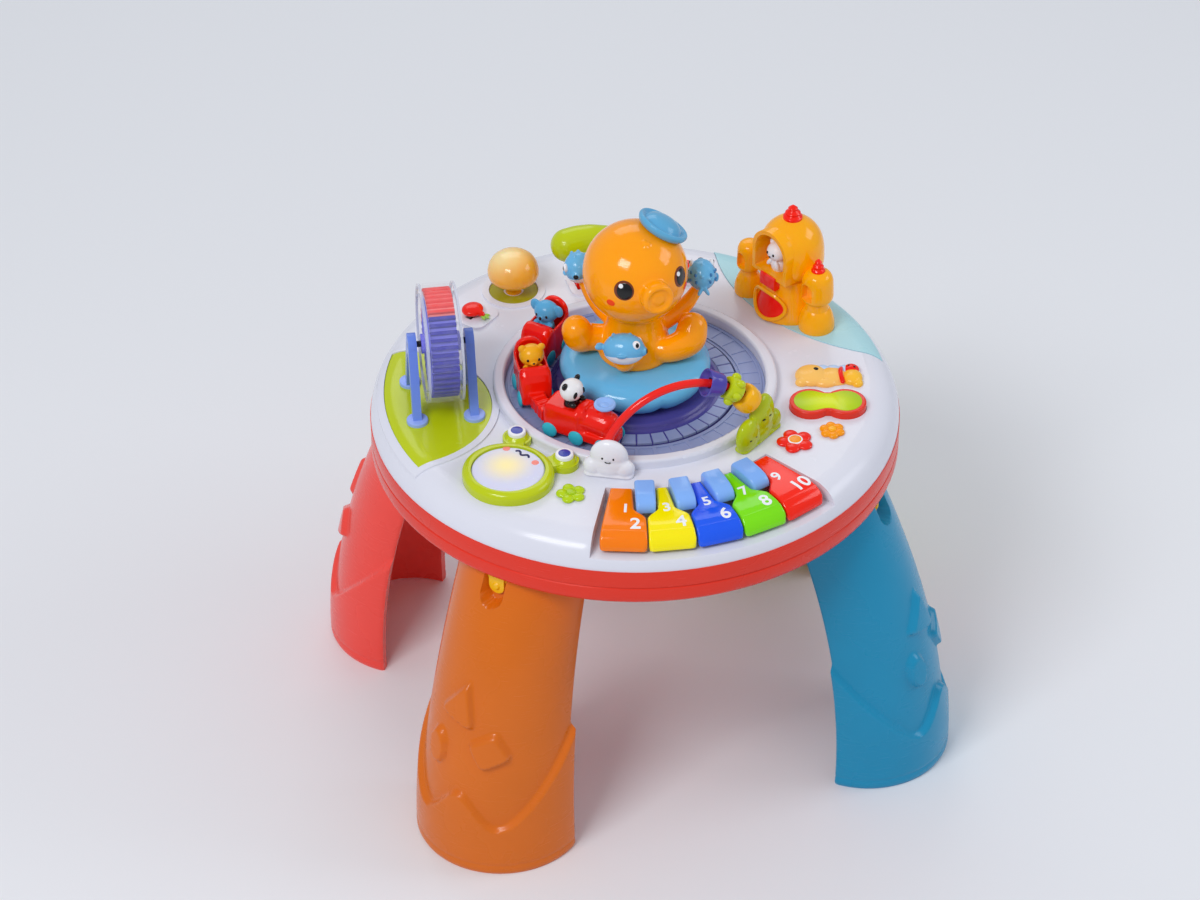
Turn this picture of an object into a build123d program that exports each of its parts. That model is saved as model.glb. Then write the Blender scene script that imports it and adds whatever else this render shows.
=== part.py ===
from build123d import *
from math import asin, atan, cos, degrees, radians, sin
import os

# Musical activity table for a toddler: a round play deck on four clip-on legs.
# Millimetres, +Z up. The origin is on the floor under the middle of the table.
# The piano is at the front, on -Y. Azimuths are degrees from +X, counter-clockwise.

# ---- Case -------------------------------------------------------------------
RIM_R = 215.0            # outside of the red rim
RIM_BOTTOM_Z = 256.0     # underside of the case, where the legs meet it
RIM_HEIGHT = 32.0        # height of the red rim
SHOULDER_R = 24.0        # round of the white deck down to the rim
SEAM_STEP = 0.5          # the deck's edge lies this far inside the rim
CASE_WALL = 2.6          # wall of both case halves
RIM_ROUND = 6.0          # bottom corner of the rim
GROOVE_DROP = 16.0       # groove line round the rim, below its top
GROOVE_DEPTH = 1.0
SKIRT_DEPTH = 7.0        # inner skirt that centres the deck in the rim
FIT_GAP = 0.3            # clearance between parts that slide or drop in
RUN_GAP = 0.06           # radial clearance of a shaft in its bore
FACE_GAP = 0.3           # clearance between faces that turn or slide past each other

# ---- Well, track and turntable ----------------------------------------------
WELL_R = 105.6           # inside of the raised lip round the railway
LIP_WIDTH = 9.4
LIP_HEIGHT = 8.0
WELL_DEPTH = 6.0         # well floor below the deck
TRACK_GAP = 2.0          # between the turntable and the track
TRACK_THICK = 5.2
RAIL_HEIGHT = 1.0
RAIL_WIDTH = 1.6
RAIL_EDGE = 3.2          # rail centre from the edge of the track
SLEEPERS = 40
SLEEPER_WIDTH = 3.0
TABLE_R = 82.0           # turntable disc
TABLE_THICK = 6.0
PLATEAU_R = 65.0
PLATEAU_HEIGHT = 5.0
TABLE_HUB_R = 24.0
GEAR_MODULE = 2.5
TABLE_SPIGOT_R = 12.0    # lower end of the hub, which carries the gear
TABLE_TEETH = 36
PINION_TEETH = 12
GEAR_THICK = 8.0
PINION_AZ = 200.0
MOTOR_R = 13.0
SHAFT_R = 1.5

# ---- Legs -------------------------------------------------------------------
LEG_AZ = 39.5            # legs stand this far off the X axis, front and rear
LEG_WALL = 3.2
LEG_SWEEP = 93.0         # half of the angle that the C-section covers
LEG_LEVELS = (0.0, 0.31, 0.62, 1.0)          # share of the leg's height
LEG_CENTRES = (207.0, 203.5, 188.0, 154.0)   # section centre from the table's axis
LEG_RADII = (65.0, 62.5, 58.5, 54.0)         # section radius at those levels
LEG_RELIEF = 2.4         # height of the raised sock and shapes
SOCK_PEAK = 74.0         # wavy top edge of the sock, at the middle of the leg
SOCK_VALLEY = 46.0
SOCK_VALLEY_T = 31.0     # valley, sideways from the middle
SOCK_END = 116.0
LEG_BOW = ((4.0, 166.0), (5.0, 132.0), (26.0, 148.0))  # half of the raised bow: sideways, height
LEG_OVAL = (-27.0, 104.0, 8.0, 15.0)         # raised oval: place, half width, half height
LEG_SQUARE = (21.0, 113.0, 25.0, 20.0)       # raised square: place, side, degrees it is turned
LEG_TOP_PLATE = 5.0
TENON_W = 60.0
TENON_D = 24.0
TENON_H = 20.0
TENON_AT = 180.0         # tenon centre from the table's axis
RECESS_W = 20.0          # arched latch recess at the top of the leg
RECESS_H = 26.0
RECESS_DEPTH = 12.0
LATCH_W = 14.0
LATCH_H = 19.0
LATCH_DEPTH = 7.5
LATCH_TRAVEL = 3.5

# ---- Base fittings ----------------------------------------------------------
DOOR_X, DOOR_Y = 76.0, 62.0
BOX_HEIGHT = 24.0
SCREW_AZ = (0.0, 60.0, 120.0, 180.0, 236.0, 304.0)
POST_AT = 196.0
POST_R = 5.0
SCREW_R = 1.5
SCREW_HEAD_R = 3.0
SCREW_HEAD = 2.2
SCREW_LENGTH = 16.0
SPEAKER_R = 28.0
SPEAKER_AT = 105.0
SPEAKER_AZ = 90.0
BOARD_AT = 96.0          # middle of the circuit board, along X
BOARD_L, BOARD_W = 60.0, 46.0
BOARD_LIFT = 6.0         # height of the ribs it stands on

# ---- Piano ------------------------------------------------------------------
PIANO_AZ = -89.8
KEYS = 5
KEY_PITCH = 10.8         # degrees from key to key
KEY_SLIT = 1.0           # gap between two keys, and to the tray's ends
KEY_BACK_R = 143.5
KEY_FRONT_R = 205.5
KEY_SLOPE = 14.0         # length of the sloping front
KEY_APRON = 2.5          # the front wall reaches this far below the sides
KEY_TOP = 4.0            # key top above the deck
KEY_THICK = 12.0
KEY_WALL = 2.4
KEY_DIP = 2.6            # degrees that a key tips
TRAY_BACK_R = 140.0
TRAY_DEPTH = 14.0        # tray floor below the deck
TRAY_MARGIN = 1.6        # degrees of tray beyond the end keys
BARREL_R = 2.2           # hinge barrel under the back of a key
SHORT_KEY_W = 16.0
SHORT_KEY_L = 32.0
SHORT_KEY_TOP = 11.0     # above the deck

# ---- Big wheel --------------------------------------------------------------
WHEEL_AT, WHEEL_AZ = 157.0, 170.0
WHEEL_R = 48.0
WHEEL_W = 30.0
WHEEL_WALL = 1.6
WHEEL_AXLE_H = 58.0      # axle above the deck
WHEEL_AXLE_R = 2.5
INSERT_R = 44.0
INSERT_W = 22.0
INSERT_RIBS = 44
INSERT_RIB = 2.4
HUB_R = 8.0
FRAME_SPREAD = 46.0      # between the two frames
FRAME_THICK = 7.0
FRAME_FOOT = 25.5        # half the distance between a frame's feet
FRAME_LEG_W = 10.0
FOOT_R = 6.4
FOOT_H = 2.5
PANEL_PROUD = 0.8
PANEL_SINK = 1.2
WHEEL_PANEL_C, WHEEL_PANEL_R, WHEEL_PANEL_RIM = 196.0, 78.0, 203.0
WHEEL_PANEL_AZ = 171.5
BORDER_WIDTH = 6.0
BORDER_HEIGHT = 1.6

# ---- Bead loop --------------------------------------------------------------
LOOP_X, LOOP_Y = 4.4, -102.0   # centre of the loop's arc, which lies along X
LOOP_R = 68.0
LOOP_TUBE_R = 3.3
LOOP_FROM, LOOP_TO = 20.0, 160.0
POST_THICK = 14.0
CLOUD_AT, CLOUD_AZ = 122.5, -118.5
CLOUD_W, CLOUD_H = 43.0, 33.0
HILL_AT, HILL_AZ = 122.5, -56.0
HILL_W, HILL_H = 54.0, 36.0
BEAD_BORE_R = 4.4
PURPLE_BEAD = (67.5, 8.0, 11.5)    # angle on the arc, half length, radius
LIME_BEAD = (52.5, 6.5, 9.0)
YELLOW_BEAD = (38.5, 7.0, 10.5)
COG_KNOB_R = 3.0
COG_KNOBS = 6

# ---- Octopus and cushion ----------------------------------------------------
OCTOPUS_AZ = -87.0       # the way it faces
CUSHION_R = 61.0
CUSHION_FOOT_R = 47.0    # where it stands on the turntable
CUSHION_LOBES = 8
LOBE_DEPTH = 3.0
CUSHION_H = 27.0
BODY_R = 30.0
NECK_R = 22.0
BODY_H = 37.0
HEAD_R = 42.0
HEAD_Z = 110.0           # head centre above the deck
SNOUT_R = 13.0
SNOUT_OUT = 9.0
ARM_ROOT_R = 11.0
ARM_TIP_R = 13.0
HIGH_ARM_R = 6.5
LOW_ARMS = (62.0, -118.0, 150.0)     # from the way it faces
LOW_ARM_REACH = 44.0
FISH_ARM = -38.0
FISH_ARM_REACH = 32.0
HIGH_ARMS = (92.0, -152.0)
HIGH_ARM_REACH = 54.0
HIGH_ARM_RISE = 68.0
FISH_R = 13.0
CAP_R = 19.0
CAP_H = 7.0              # crown above the head
CAP_TILT = 33.0

# ---- Train ------------------------------------------------------------------
TRAIN_R = 84.0
TRAIN_W = 25.0
CAR_FLOOR = 6.2          # underside of the cars above the deck
CAR_H = 22.0
LOCO_AZ, LOCO_L = 222.0, 62.0
WAGON_AZ, WAGON_L = (173.0, 133.0), 42.0
WAGON_SEAT = -1.5        # rider's place along the wagon
BOILER_R = 11.0
FUNNEL_R = 6.5
TRAIN_WHEEL_R = 6.8
TRAIN_WHEEL_T = 4.0
ANIMAL_R = 9.0

# ---- Small controls ---------------------------------------------------------
MUSHROOM_AT, MUSHROOM_AZ = 165.0, 109.0
MUSHROOM_R, MUSHROOM_H = 20.5, 38.0
MUSHROOM_STEM_R = 6.5
MUSHROOM_BASE_R = 20.5
FLANGE = 2.0             # catch below the deck that keeps a button in
LEVER_AT, LEVER_AZ = 146.0, 87.5
LEVER_PIVOT = 16.0       # pivot below the deck
LEVER_SWING = 14.0
GRIP_L, GRIP_R = 62.0, 15.0
GRIP_H = 44.0            # grip centre above the deck
STEM_W, STEM_T = 18.0, 7.0
TRUNNION_R, EAR_T = 2.5, 3.0
SWITCH_AT, SWITCH_AZ = 163.0, 126.0
SWITCH_R = 10.0
SWITCH_TRAVEL = 4.0
REAR_AT, REAR_AZ = 160.0, 57.0
REAR_L, REAR_W = 42.0, 27.0
FROG_AT, FROG_AZ = 161.0, -147.0
FROG_R, FROG_DRUM_R = 36.0, 29.0
FROG_H = 10.0
FROG_EYE_AT, FROG_EYE_TURN, FROG_EYE_R = 47.0, 31.0, 11.5
SONG_AT, SONG_AZ, SONG_TURN = 158.0, -30.5, 11.5
SONG_LOBE_R, SONG_LOBE = 17.0, 14.0
SONG_H = 6.0
ANIMAL_AT, ANIMAL_AZ, ANIMAL_TURN = 160.0, -17.5, -1.5
PRESS = 2.0              # travel of a push button
RED_FLOWER = (150.0, -51.0, 15.0)      # radius, azimuth, size
ORANGE_FLOWER = (170.0, -41.5, 10.5)
LIME_FLOWER = (156.0, -127.5, 12.0)
FLOWER_H = 4.0

# ---- Castle -----------------------------------------------------------------
CASTLE_AT, CASTLE_AZ = 169.0, 21.4
CASTLE_PANEL = (315.0, 171.4, 206.0, 22.0)   # lens centre, lens radius, rim radius, azimuth
TOWER_R = 30.0           # foot of the tower
DOME_R = 27.0
TOWER_H = 87.0
NECK_W = 19.5            # radius of the tower between its foot and its dome
WINDOW_W, WINDOW_LOW, WINDOW_H = 34.0, 43.0, 36.0
WINDOW_DEPTH = 21.0
HOOD_WALL = 3.5
DOOR_W, DOOR_H = 34.0, 22.0
NEAR_TURRET = (-4.0, -36.5, 56.0, 13.3)      # local place, height, radius
FAR_TURRET = (-12.0, 38.0, 50.0, 10.5)
FINIAL_R = 8.0

# ---- Worked out -------------------------------------------------------------
SEAM_Z = RIM_BOTTOM_Z + RIM_HEIGHT
DECK_Z = SEAM_Z + SHOULDER_R
EDGE_R = RIM_R - SEAM_STEP
FLAT_R = EDGE_R - SHOULDER_R
WELL_Z = DECK_Z - WELL_DEPTH
CASE_FLOOR_Z = RIM_BOTTOM_Z + CASE_WALL
WELL_UNDER_Z = WELL_Z - CASE_WALL
LIP_R = WELL_R + LIP_WIDTH
TRACK_INNER_R = TABLE_R + TRACK_GAP
TRAY_Z = DECK_Z - TRAY_DEPTH
GEAR_Z = WELL_UNDER_Z - FACE_GAP - GEAR_THICK   # underside of the gears
TABLE_Z = WELL_Z + FACE_GAP                  # underside of the turntable disc
TABLE_TOP = TABLE_Z + TABLE_THICK
PLATEAU_Z = TABLE_TOP + PLATEAU_HEIGHT
CUSHION_TOP = PLATEAU_Z + CUSHION_H
PINION_AT = GEAR_MODULE * (TABLE_TEETH + PINION_TEETH) / 2
PIANO_HALF = KEYS * KEY_PITCH / 2 + TRAY_MARGIN
AXLE_Z = DECK_Z + WHEEL_AXLE_H
SINK = 4.0               # how far a foot starts below the deck before it is cut to fit
PARTS = {}


# ---- Helpers ----------------------------------------------------------------
def spot(radius, azimuth, height=0.0, turn=0.0):
    """A place on the table: local X points away from the table's axis."""
    a = radians(azimuth)
    return Location((radius * cos(a), radius * sin(a), height), (0, 0, azimuth + turn))


def turned(*edges, sweep=360):
    """Revolve a closed outline, given as (radius, height) edges, about the vertical axis."""
    return revolve(Plane.XZ * make_face(edges), Axis.Z, sweep)


def turned_polygon(*points, sweep=360):
    return turned(Polyline(*points, close=True).edges(), sweep=sweep)


def tube(outer, inner, low, high):
    """An upright ring between two heights."""
    return Pos(0, 0, low) * extrude(Circle(outer) - Circle(inner), high - low)


def upright(outline, low, high):
    """A flat outline raised from one height to another."""
    return Pos(0, 0, low) * extrude(outline, high - low, dir=(0, 0, 1))


def crowned(outline, low, high, corner):
    """The same, with its top edges rounded."""
    solid = upright(outline, low, high)
    return fillet(solid.faces().sort_by(Axis.Z)[-1].edges(), corner)


def sector(inner, outer, half_angle, azimuth):
    """A flat piece of a ring, centred on an azimuth."""
    a = radians(half_angle)
    far = outer / cos(a) * 1.02
    wedge = make_face(Polyline((0, 0), (far * cos(a), -far * sin(a)), (far * cos(a), far * sin(a)), close=True))
    flat = (Circle(outer) - Circle(inner)) & wedge if inner else Circle(outer) & wedge
    return Rot(0, 0, azimuth) * flat


def flower(size, petals):
    """Outline of a flower: round petals about a disc."""
    petal = size * 0.40
    outline = Circle(size * 0.52)
    for k in range(petals):
        outline += Rot(0, 0, 360 * k / petals) * Pos(size - petal, 0) * Circle(petal)
    return outline


def gear_outline(teeth, first):
    """Straight-sided teeth with backlash, the first one at the given angle."""
    pitch_r = GEAR_MODULE * teeth / 2
    step = 360 / teeth
    levels = ((-1.25, 0.27), (0.0, 0.205), (0.8, 0.11))      # height in modules, half width in steps
    points = []
    for k in range(teeth):
        for height, half in levels:
            points.append((pitch_r + height * GEAR_MODULE, first + (k - half) * step))
        for height, half in reversed(levels):
            points.append((pitch_r + height * GEAR_MODULE, first + (k + half) * step))
    return make_face(Polyline(*[(r * cos(radians(a)), r * sin(radians(a))) for r, a in points], close=True))


def limb(points, radii, ball):
    """A smooth tapering limb through the given points, with a larger ball at its tip."""
    sections = []
    for k, point in enumerate(points):
        before = Vector(*points[max(k - 1, 0)])
        after = Vector(*points[min(k + 1, len(points) - 1)])
        sections.append(Plane(origin=point, z_dir=after - before) * Circle(radii[k]))
    tip = Plane(origin=points[-1], z_dir=Vector(*points[-1]) - Vector(*points[-2]))
    return loft(sections) + tip * Sphere(ball)


# ---- Deck surface -----------------------------------------------------------
def deck_band(low, high):
    """The layer between two offsets from the deck's outer surface."""
    centre = (FLAT_R, SEAM_Z)
    top, under = SHOULDER_R + high, SHOULDER_R + low
    return turned(
        Line((LIP_R, SEAM_Z + under), (FLAT_R, SEAM_Z + under)),
        CenterArc(centre, under, 0, 90),
        Line((FLAT_R + under, SEAM_Z), (FLAT_R + top, SEAM_Z)),
        CenterArc(centre, top, 0, 90),
        Line((FLAT_R, SEAM_Z + top), (LIP_R, SEAM_Z + top)),
        Line((LIP_R, SEAM_Z + top), (LIP_R, SEAM_Z + under)))


def lens(centre, radius, rim, azimuth, grow=0.0):
    """Outline of a panel: a big disc cut off along the rim of the deck."""
    return Rot(0, 0, azimuth) * (Pos(centre, 0) * Circle(radius + grow) & Circle(rim + grow))


def panel(outline, low, high):
    """A panel that follows the deck's surface."""
    return deck_band(low, high) & upright(outline, SEAM_Z, DECK_Z + 20)


def seated(solid, proud=0.0):
    """Cut away what a solid would sink into the deck, its lip or a panel on it."""
    lip = tube(LIP_R, WELL_R - 5, DECK_Z - SINK, DECK_Z + LIP_HEIGHT)
    return solid - deck_band(-SINK - 1, proud) - lip


WHEEL_LENS = (WHEEL_PANEL_C, WHEEL_PANEL_R, WHEEL_PANEL_RIM, WHEEL_PANEL_AZ)


# ---- Lower shell ------------------------------------------------------------
def lower_shell():
    """Red tray: rim, floor, leg sockets, battery box, screw bosses and grille."""
    inner = RIM_R - CASE_WALL
    groove_z = SEAM_Z - GROOVE_DROP
    shell = turned(
        Line((0, RIM_BOTTOM_Z), (RIM_R - RIM_ROUND, RIM_BOTTOM_Z)),
        CenterArc((RIM_R - RIM_ROUND, RIM_BOTTOM_Z + RIM_ROUND), RIM_ROUND, -90, 90),
        Polyline((RIM_R, RIM_BOTTOM_Z + RIM_ROUND), (RIM_R, groove_z - GROOVE_DEPTH),
                 (RIM_R - GROOVE_DEPTH, groove_z), (RIM_R, groove_z + GROOVE_DEPTH), (RIM_R, SEAM_Z),
                 (inner, SEAM_Z), (inner, RIM_BOTTOM_Z + RIM_ROUND)),
        CenterArc((RIM_R - RIM_ROUND, RIM_BOTTOM_Z + RIM_ROUND), RIM_ROUND - CASE_WALL, -90, 90),
        Polyline((RIM_R - RIM_ROUND, CASE_FLOOR_Z), (0, CASE_FLOOR_Z), (0, RIM_BOTTOM_Z)))
    for azimuth in leg_azimuths():
        there = spot(TENON_AT, azimuth)
        socket = Rectangle(TENON_D + 2 * FIT_GAP, TENON_W + 2 * FIT_GAP)
        collar = offset(socket, CASE_WALL, kind=Kind.INTERSECTION)
        shell += there * upright(collar, RIM_BOTTOM_Z, RIM_BOTTOM_Z + TENON_H + CASE_WALL)
        shell -= there * upright(socket, RIM_BOTTOM_Z, RIM_BOTTOM_Z + TENON_H + FIT_GAP)
    for azimuth in SCREW_AZ:
        there = spot(POST_AT, azimuth)
        shell += there * upright(Circle(POST_R), RIM_BOTTOM_Z, screw_seat_z() + SCREW_HEAD)
        shell -= there * upright(Circle(SCREW_HEAD_R + FIT_GAP), RIM_BOTTOM_Z, screw_seat_z())
        shell -= there * upright(Circle(SCREW_R + FIT_GAP), RIM_BOTTOM_Z, SEAM_Z)
    well = Rectangle(DOOR_X, DOOR_Y)
    walls = offset(well, CASE_WALL, kind=Kind.INTERSECTION)
    shell += upright(walls, RIM_BOTTOM_Z, RIM_BOTTOM_Z + BOX_HEIGHT)
    shell -= upright(well, RIM_BOTTOM_Z, RIM_BOTTOM_Z + BOX_HEIGHT - CASE_WALL)
    for side in (-1, 1):
        post = Pos(side * (DOOR_X / 2 - POST_R), 0) * Circle(POST_R)
        shell += upright(post, RIM_BOTTOM_Z + CASE_WALL, RIM_BOTTOM_Z + BOX_HEIGHT)
        hole = Pos(side * (DOOR_X / 2 - POST_R), 0) * Circle(SCREW_R + RUN_GAP)
        shell -= upright(hole, RIM_BOTTOM_Z, RIM_BOTTOM_Z + SCREW_LENGTH + 2)
    slot = Rectangle(4, SPEAKER_R * 1.2)
    for k in range(-2, 3):
        grille = spot(SPEAKER_AT, SPEAKER_AZ) * Pos(k * SPEAKER_R / 3.5, 0, 0) * upright(slot, 0, 2 * CASE_WALL)
        shell -= Pos(0, 0, RIM_BOTTOM_Z - CASE_WALL / 2) * grille
    return shell


def screw_seat_z():
    return RIM_BOTTOM_Z + 5.0


def leg_azimuths():
    return (180 + LEG_AZ, 360 - LEG_AZ, 180 - LEG_AZ, LEG_AZ)


# ---- Top shell --------------------------------------------------------------
def top_shell():
    """White deck: shoulder, raised lip, railway well, piano tray and control openings."""
    under = SHOULDER_R - CASE_WALL
    corner = 2.5
    lip_top = DECK_Z + LIP_HEIGHT
    shell = turned(
        CenterArc((FLAT_R, SEAM_Z), SHOULDER_R, 0, 90),
        Line((FLAT_R, DECK_Z), (LIP_R, DECK_Z)),
        Line((LIP_R, DECK_Z), (LIP_R, lip_top - corner)),
        CenterArc((LIP_R - corner, lip_top - corner), corner, 0, 90),
        Line((LIP_R - corner, lip_top), (WELL_R + corner, lip_top)),
        CenterArc((WELL_R + corner, lip_top - corner), corner, 90, 90),
        Polyline((WELL_R, lip_top - corner), (WELL_R, WELL_Z), (TABLE_HUB_R, WELL_Z),
                 (TABLE_HUB_R, WELL_Z - CASE_WALL), (WELL_R + CASE_WALL, WELL_Z - CASE_WALL),
                 (WELL_R + CASE_WALL, DECK_Z - CASE_WALL), (FLAT_R, DECK_Z - CASE_WALL)),
        CenterArc((FLAT_R, SEAM_Z), under, 0, 90),
        Line((FLAT_R + under, SEAM_Z), (EDGE_R, SEAM_Z)))
    skirt_r = RIM_R - CASE_WALL - FIT_GAP
    shell += tube(skirt_r, skirt_r - CASE_WALL, SEAM_Z - SKIRT_DEPTH, SEAM_Z + 2)
    shell += piano_tray()
    shell -= upright(sector(TRAY_BACK_R, RIM_R + 5, PIANO_HALF, PIANO_AZ), TRAY_Z, DECK_Z + 20)
    shell += key_cradles()
    for azimuth in SCREW_AZ:
        there = spot(POST_AT, azimuth)
        shell += there * upright(Circle(POST_R), screw_seat_z() + SCREW_HEAD, DECK_Z - CASE_WALL)
        shell -= there * upright(Circle(SCREW_R + RUN_GAP), screw_seat_z(), screw_seat_z() + SCREW_LENGTH + 2)
    rim_band = lens(*WHEEL_LENS, grow=BORDER_WIDTH) - lens(*WHEEL_LENS)
    shell += panel(rim_band, 0, BORDER_HEIGHT)
    shell -= panel(lens(*WHEEL_LENS, grow=FIT_GAP), -PANEL_SINK, BORDER_HEIGHT + 1)
    shell -= panel(lens(*CASTLE_PANEL, grow=FIT_GAP), -PANEL_SINK, BORDER_HEIGHT + 1)
    shell += spot(MUSHROOM_AT, MUSHROOM_AZ) * tube(MUSHROOM_BASE_R + 6, MUSHROOM_BASE_R + FIT_GAP,
                                                   DECK_Z, DECK_Z + 1.5)
    shell += spot(REAR_AT, REAR_AZ, 0, 90) * upright(
        Ellipse(REAR_L / 2 + 4, REAR_W / 2 + 4), DECK_Z, DECK_Z + 1.2)
    shell += spot(LEVER_AT, LEVER_AZ) * upright(lever_bezel(), DECK_Z, DECK_Z + 2.0)
    shell += spot(SWITCH_AT, SWITCH_AZ) * upright(switch_pad(), DECK_Z, DECK_Z + 2.0)
    for outline, place in openings():
        shell -= place * upright(outline, DECK_Z - 2 * CASE_WALL, DECK_Z + 10)
    return shell + lever_ears()


def lever_ears():
    """Two ears under the deck that carry the lever's trunnions."""
    low = DECK_Z - LEVER_PIVOT - TRUNNION_R - 2.5
    bore = Pos(0, 0, DECK_Z - LEVER_PIVOT) * Rot(90, 0, 0) * Cylinder(TRUNNION_R + RUN_GAP, 2 * STEM_W)
    pair = []
    for side in (-1, 1):
        ear = Pos(0, side * ((STEM_W + EAR_T) / 2 + FACE_GAP)) * Rectangle(2 * TRUNNION_R + 6, EAR_T)
        pair.append(spot(LEVER_AT, LEVER_AZ) * (upright(ear, low, DECK_Z - CASE_WALL) - bore))
    return pair


def piano_tray():
    """Floor, back wall and end walls of the recess that holds the keys."""
    extra = degrees(CASE_WALL / TRAY_BACK_R)
    block = upright(sector(TRAY_BACK_R - CASE_WALL, RIM_R, PIANO_HALF + extra, PIANO_AZ),
                    TRAY_Z - CASE_WALL, DECK_Z)
    filled = turned(
        Line((0, SEAM_Z), (EDGE_R, SEAM_Z)),
        CenterArc((FLAT_R, SEAM_Z), SHOULDER_R, 0, 90),
        Polyline((FLAT_R, DECK_Z), (0, DECK_Z), (0, SEAM_Z)))
    return block & filled


def key_cradles():
    """Open bearings in which the hinge barrels of the keys turn."""
    cradles = []
    for k in range(KEYS):
        block = Box(6, 10, key_axle_z() - TRAY_Z + BARREL_R * 0.4,
                    align=(Align.CENTER, Align.CENTER, Align.MIN))
        groove = Pos(0, 0, key_axle_z() - TRAY_Z) * Rot(90, 0, 0) * Cylinder(BARREL_R + RUN_GAP, 20)
        cradles.append(spot(key_axle_r(), key_azimuth(k), TRAY_Z) * (block - groove))
    return cradles


def lever_bezel():
    return RectangleRounded(34, STEM_W + 12, 8)


def switch_pad():
    return RectangleRounded(SWITCH_R * 3.4, 2 * (SWITCH_R + SWITCH_TRAVEL) + 4, 8)


def song_outline(grow=0.0):
    """Peanut outline of the song plate: two round lobes and a narrower waist."""
    lobes = Pos(0, SONG_LOBE) * Circle(SONG_LOBE_R + grow) + Pos(0, -SONG_LOBE) * Circle(SONG_LOBE_R + grow)
    return lobes + Rectangle(2 * (SONG_LOBE_R * 0.72 + grow), 2 * SONG_LOBE)


def animal_outline(grow=0.0):
    """Outline of the lying animal: trunk, head and two paws."""
    trunk = Ellipse(13 + grow, 22 + grow)
    head = Pos(1, -20) * Circle(13.5 + grow)
    paws = Pos(-9, 20) * Circle(6 + grow) + Pos(9, 19) * Circle(6 + grow)
    return Pos(4, 0) * (trunk + head + paws)


def song_place():
    return spot(SONG_AT, SONG_AZ, 0, SONG_TURN + 90)


def animal_place():
    return spot(ANIMAL_AT, ANIMAL_AZ, 0, ANIMAL_TURN + 90)


def openings():
    """Holes through the deck, each with the place where it lies."""
    return (
        (Circle(MUSHROOM_STEM_R + FIT_GAP), spot(MUSHROOM_AT, MUSHROOM_AZ)),
        (Ellipse(REAR_L / 2 + FIT_GAP, REAR_W / 2 + FIT_GAP), spot(REAR_AT, REAR_AZ, 0, 90)),
        (lever_slot(), spot(LEVER_AT, LEVER_AZ)),
        (switch_slot(), spot(SWITCH_AT, SWITCH_AZ)),
        (song_outline(FIT_GAP), song_place()),
        (Circle(RED_FLOWER[2] * 0.5 + FIT_GAP), spot(RED_FLOWER[0], RED_FLOWER[1])),
    )


def lever_slot():
    reach = LEVER_PIVOT * sin(radians(LEVER_SWING)) + STEM_T / 2 + 1.5
    return Rectangle(2 * reach, STEM_W + 2 * FIT_GAP)


def switch_slot():
    return Rectangle(6, 2 * SWITCH_TRAVEL + 8)


# ---- Legs -------------------------------------------------------------------
def leg_section(level, skin, wall):
    """C-shaped section of a leg: its outside lies skin beyond the plain one."""
    centre, radius = LEG_CENTRES[level], LEG_RADII[level]
    outer, inner = radius + skin, radius - wall
    a, b = LEG_SWEEP, radians(LEG_SWEEP)
    ends = [Line((centre + inner * cos(s * b), inner * sin(s * b)),
                 (centre + outer * cos(s * b), outer * sin(s * b))) for s in (-1, 1)]
    outline = [CenterArc((centre, 0), outer, -a, 2 * a), ends[1],
               CenterArc((centre, 0), inner, -a, 2 * a), ends[0]]
    return Pos(0, 0, LEG_LEVELS[level] * RIM_BOTTOM_Z) * make_face(outline)


def leg_solid(skin, wall):
    return loft([leg_section(level, skin, wall) for level in range(len(LEG_LEVELS))])


def sideways(outline):
    """A flat outline drawn as (sideways, height), pushed out through the leg."""
    return extrude(Plane.YZ * outline, 400, dir=(1, 0, 0))


def leg():
    """One leg: C-section trunk with wavy sock, raised shapes, top plate, tenon and recess."""
    trunk = leg_solid(0, LEG_WALL)
    relief = leg_solid(LEG_RELIEF, LEG_WALL / 2)
    side = 90.0
    crest = Spline((-side, SOCK_END * 1.25), (-LEG_RADII[0], SOCK_END), (-SOCK_VALLEY_T, SOCK_VALLEY),
                   (0, SOCK_PEAK), (SOCK_VALLEY_T, SOCK_VALLEY), (LEG_RADII[0], SOCK_END),
                   (side, SOCK_END * 1.25))
    sock = make_face(crest.edges() + Polyline((side, SOCK_END * 1.25), (side, 0), (-side, 0),
                                              (-side, SOCK_END * 1.25)).edges())
    shapes = Sketch() + [sock]
    for s in (-1, 1):
        shapes += Polygon(*[(s * x, z) for x, z in LEG_BOW], align=None)
    shapes += Pos(*LEG_OVAL[:2]) * Ellipse(*LEG_OVAL[2:])
    shapes += Pos(*LEG_SQUARE[:2]) * Rot(0, 0, LEG_SQUARE[3]) * RectangleRounded(LEG_SQUARE[2], LEG_SQUARE[2], 3)
    top = RIM_BOTTOM_Z
    core = loft([leg_section(level, 0, LEG_RADII[level] * 0.9) for level in (2, 3)])
    plate = core & Pos(0, 0, top - LEG_TOP_PLATE) * Box(600, 600, LEG_TOP_PLATE,
                                                        align=(Align.CENTER, Align.CENTER, Align.MIN))
    face = LEG_CENTRES[-1] + LEG_RADII[-1]
    housing = core & Pos(face - RECESS_DEPTH - LEG_WALL, 0, top - RECESS_H - LEG_WALL) * Box(
        80, RECESS_W + 2 * LEG_WALL, RECESS_H + LEG_WALL, align=(Align.MIN, Align.CENTER, Align.MIN))
    tenon = spot(TENON_AT, 0, top) * extrude(Rectangle(TENON_D, TENON_W), TENON_H)
    body = trunk + (relief & sideways(shapes)) + plate + housing + tenon
    recess = arch(RECESS_W, RECESS_H, top)
    return body - (sideways(recess) & Pos(face - RECESS_DEPTH, 0, 0) * Box(
        80, 80, 2 * top, align=(Align.MIN, Align.CENTER, Align.CENTER)))


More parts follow.
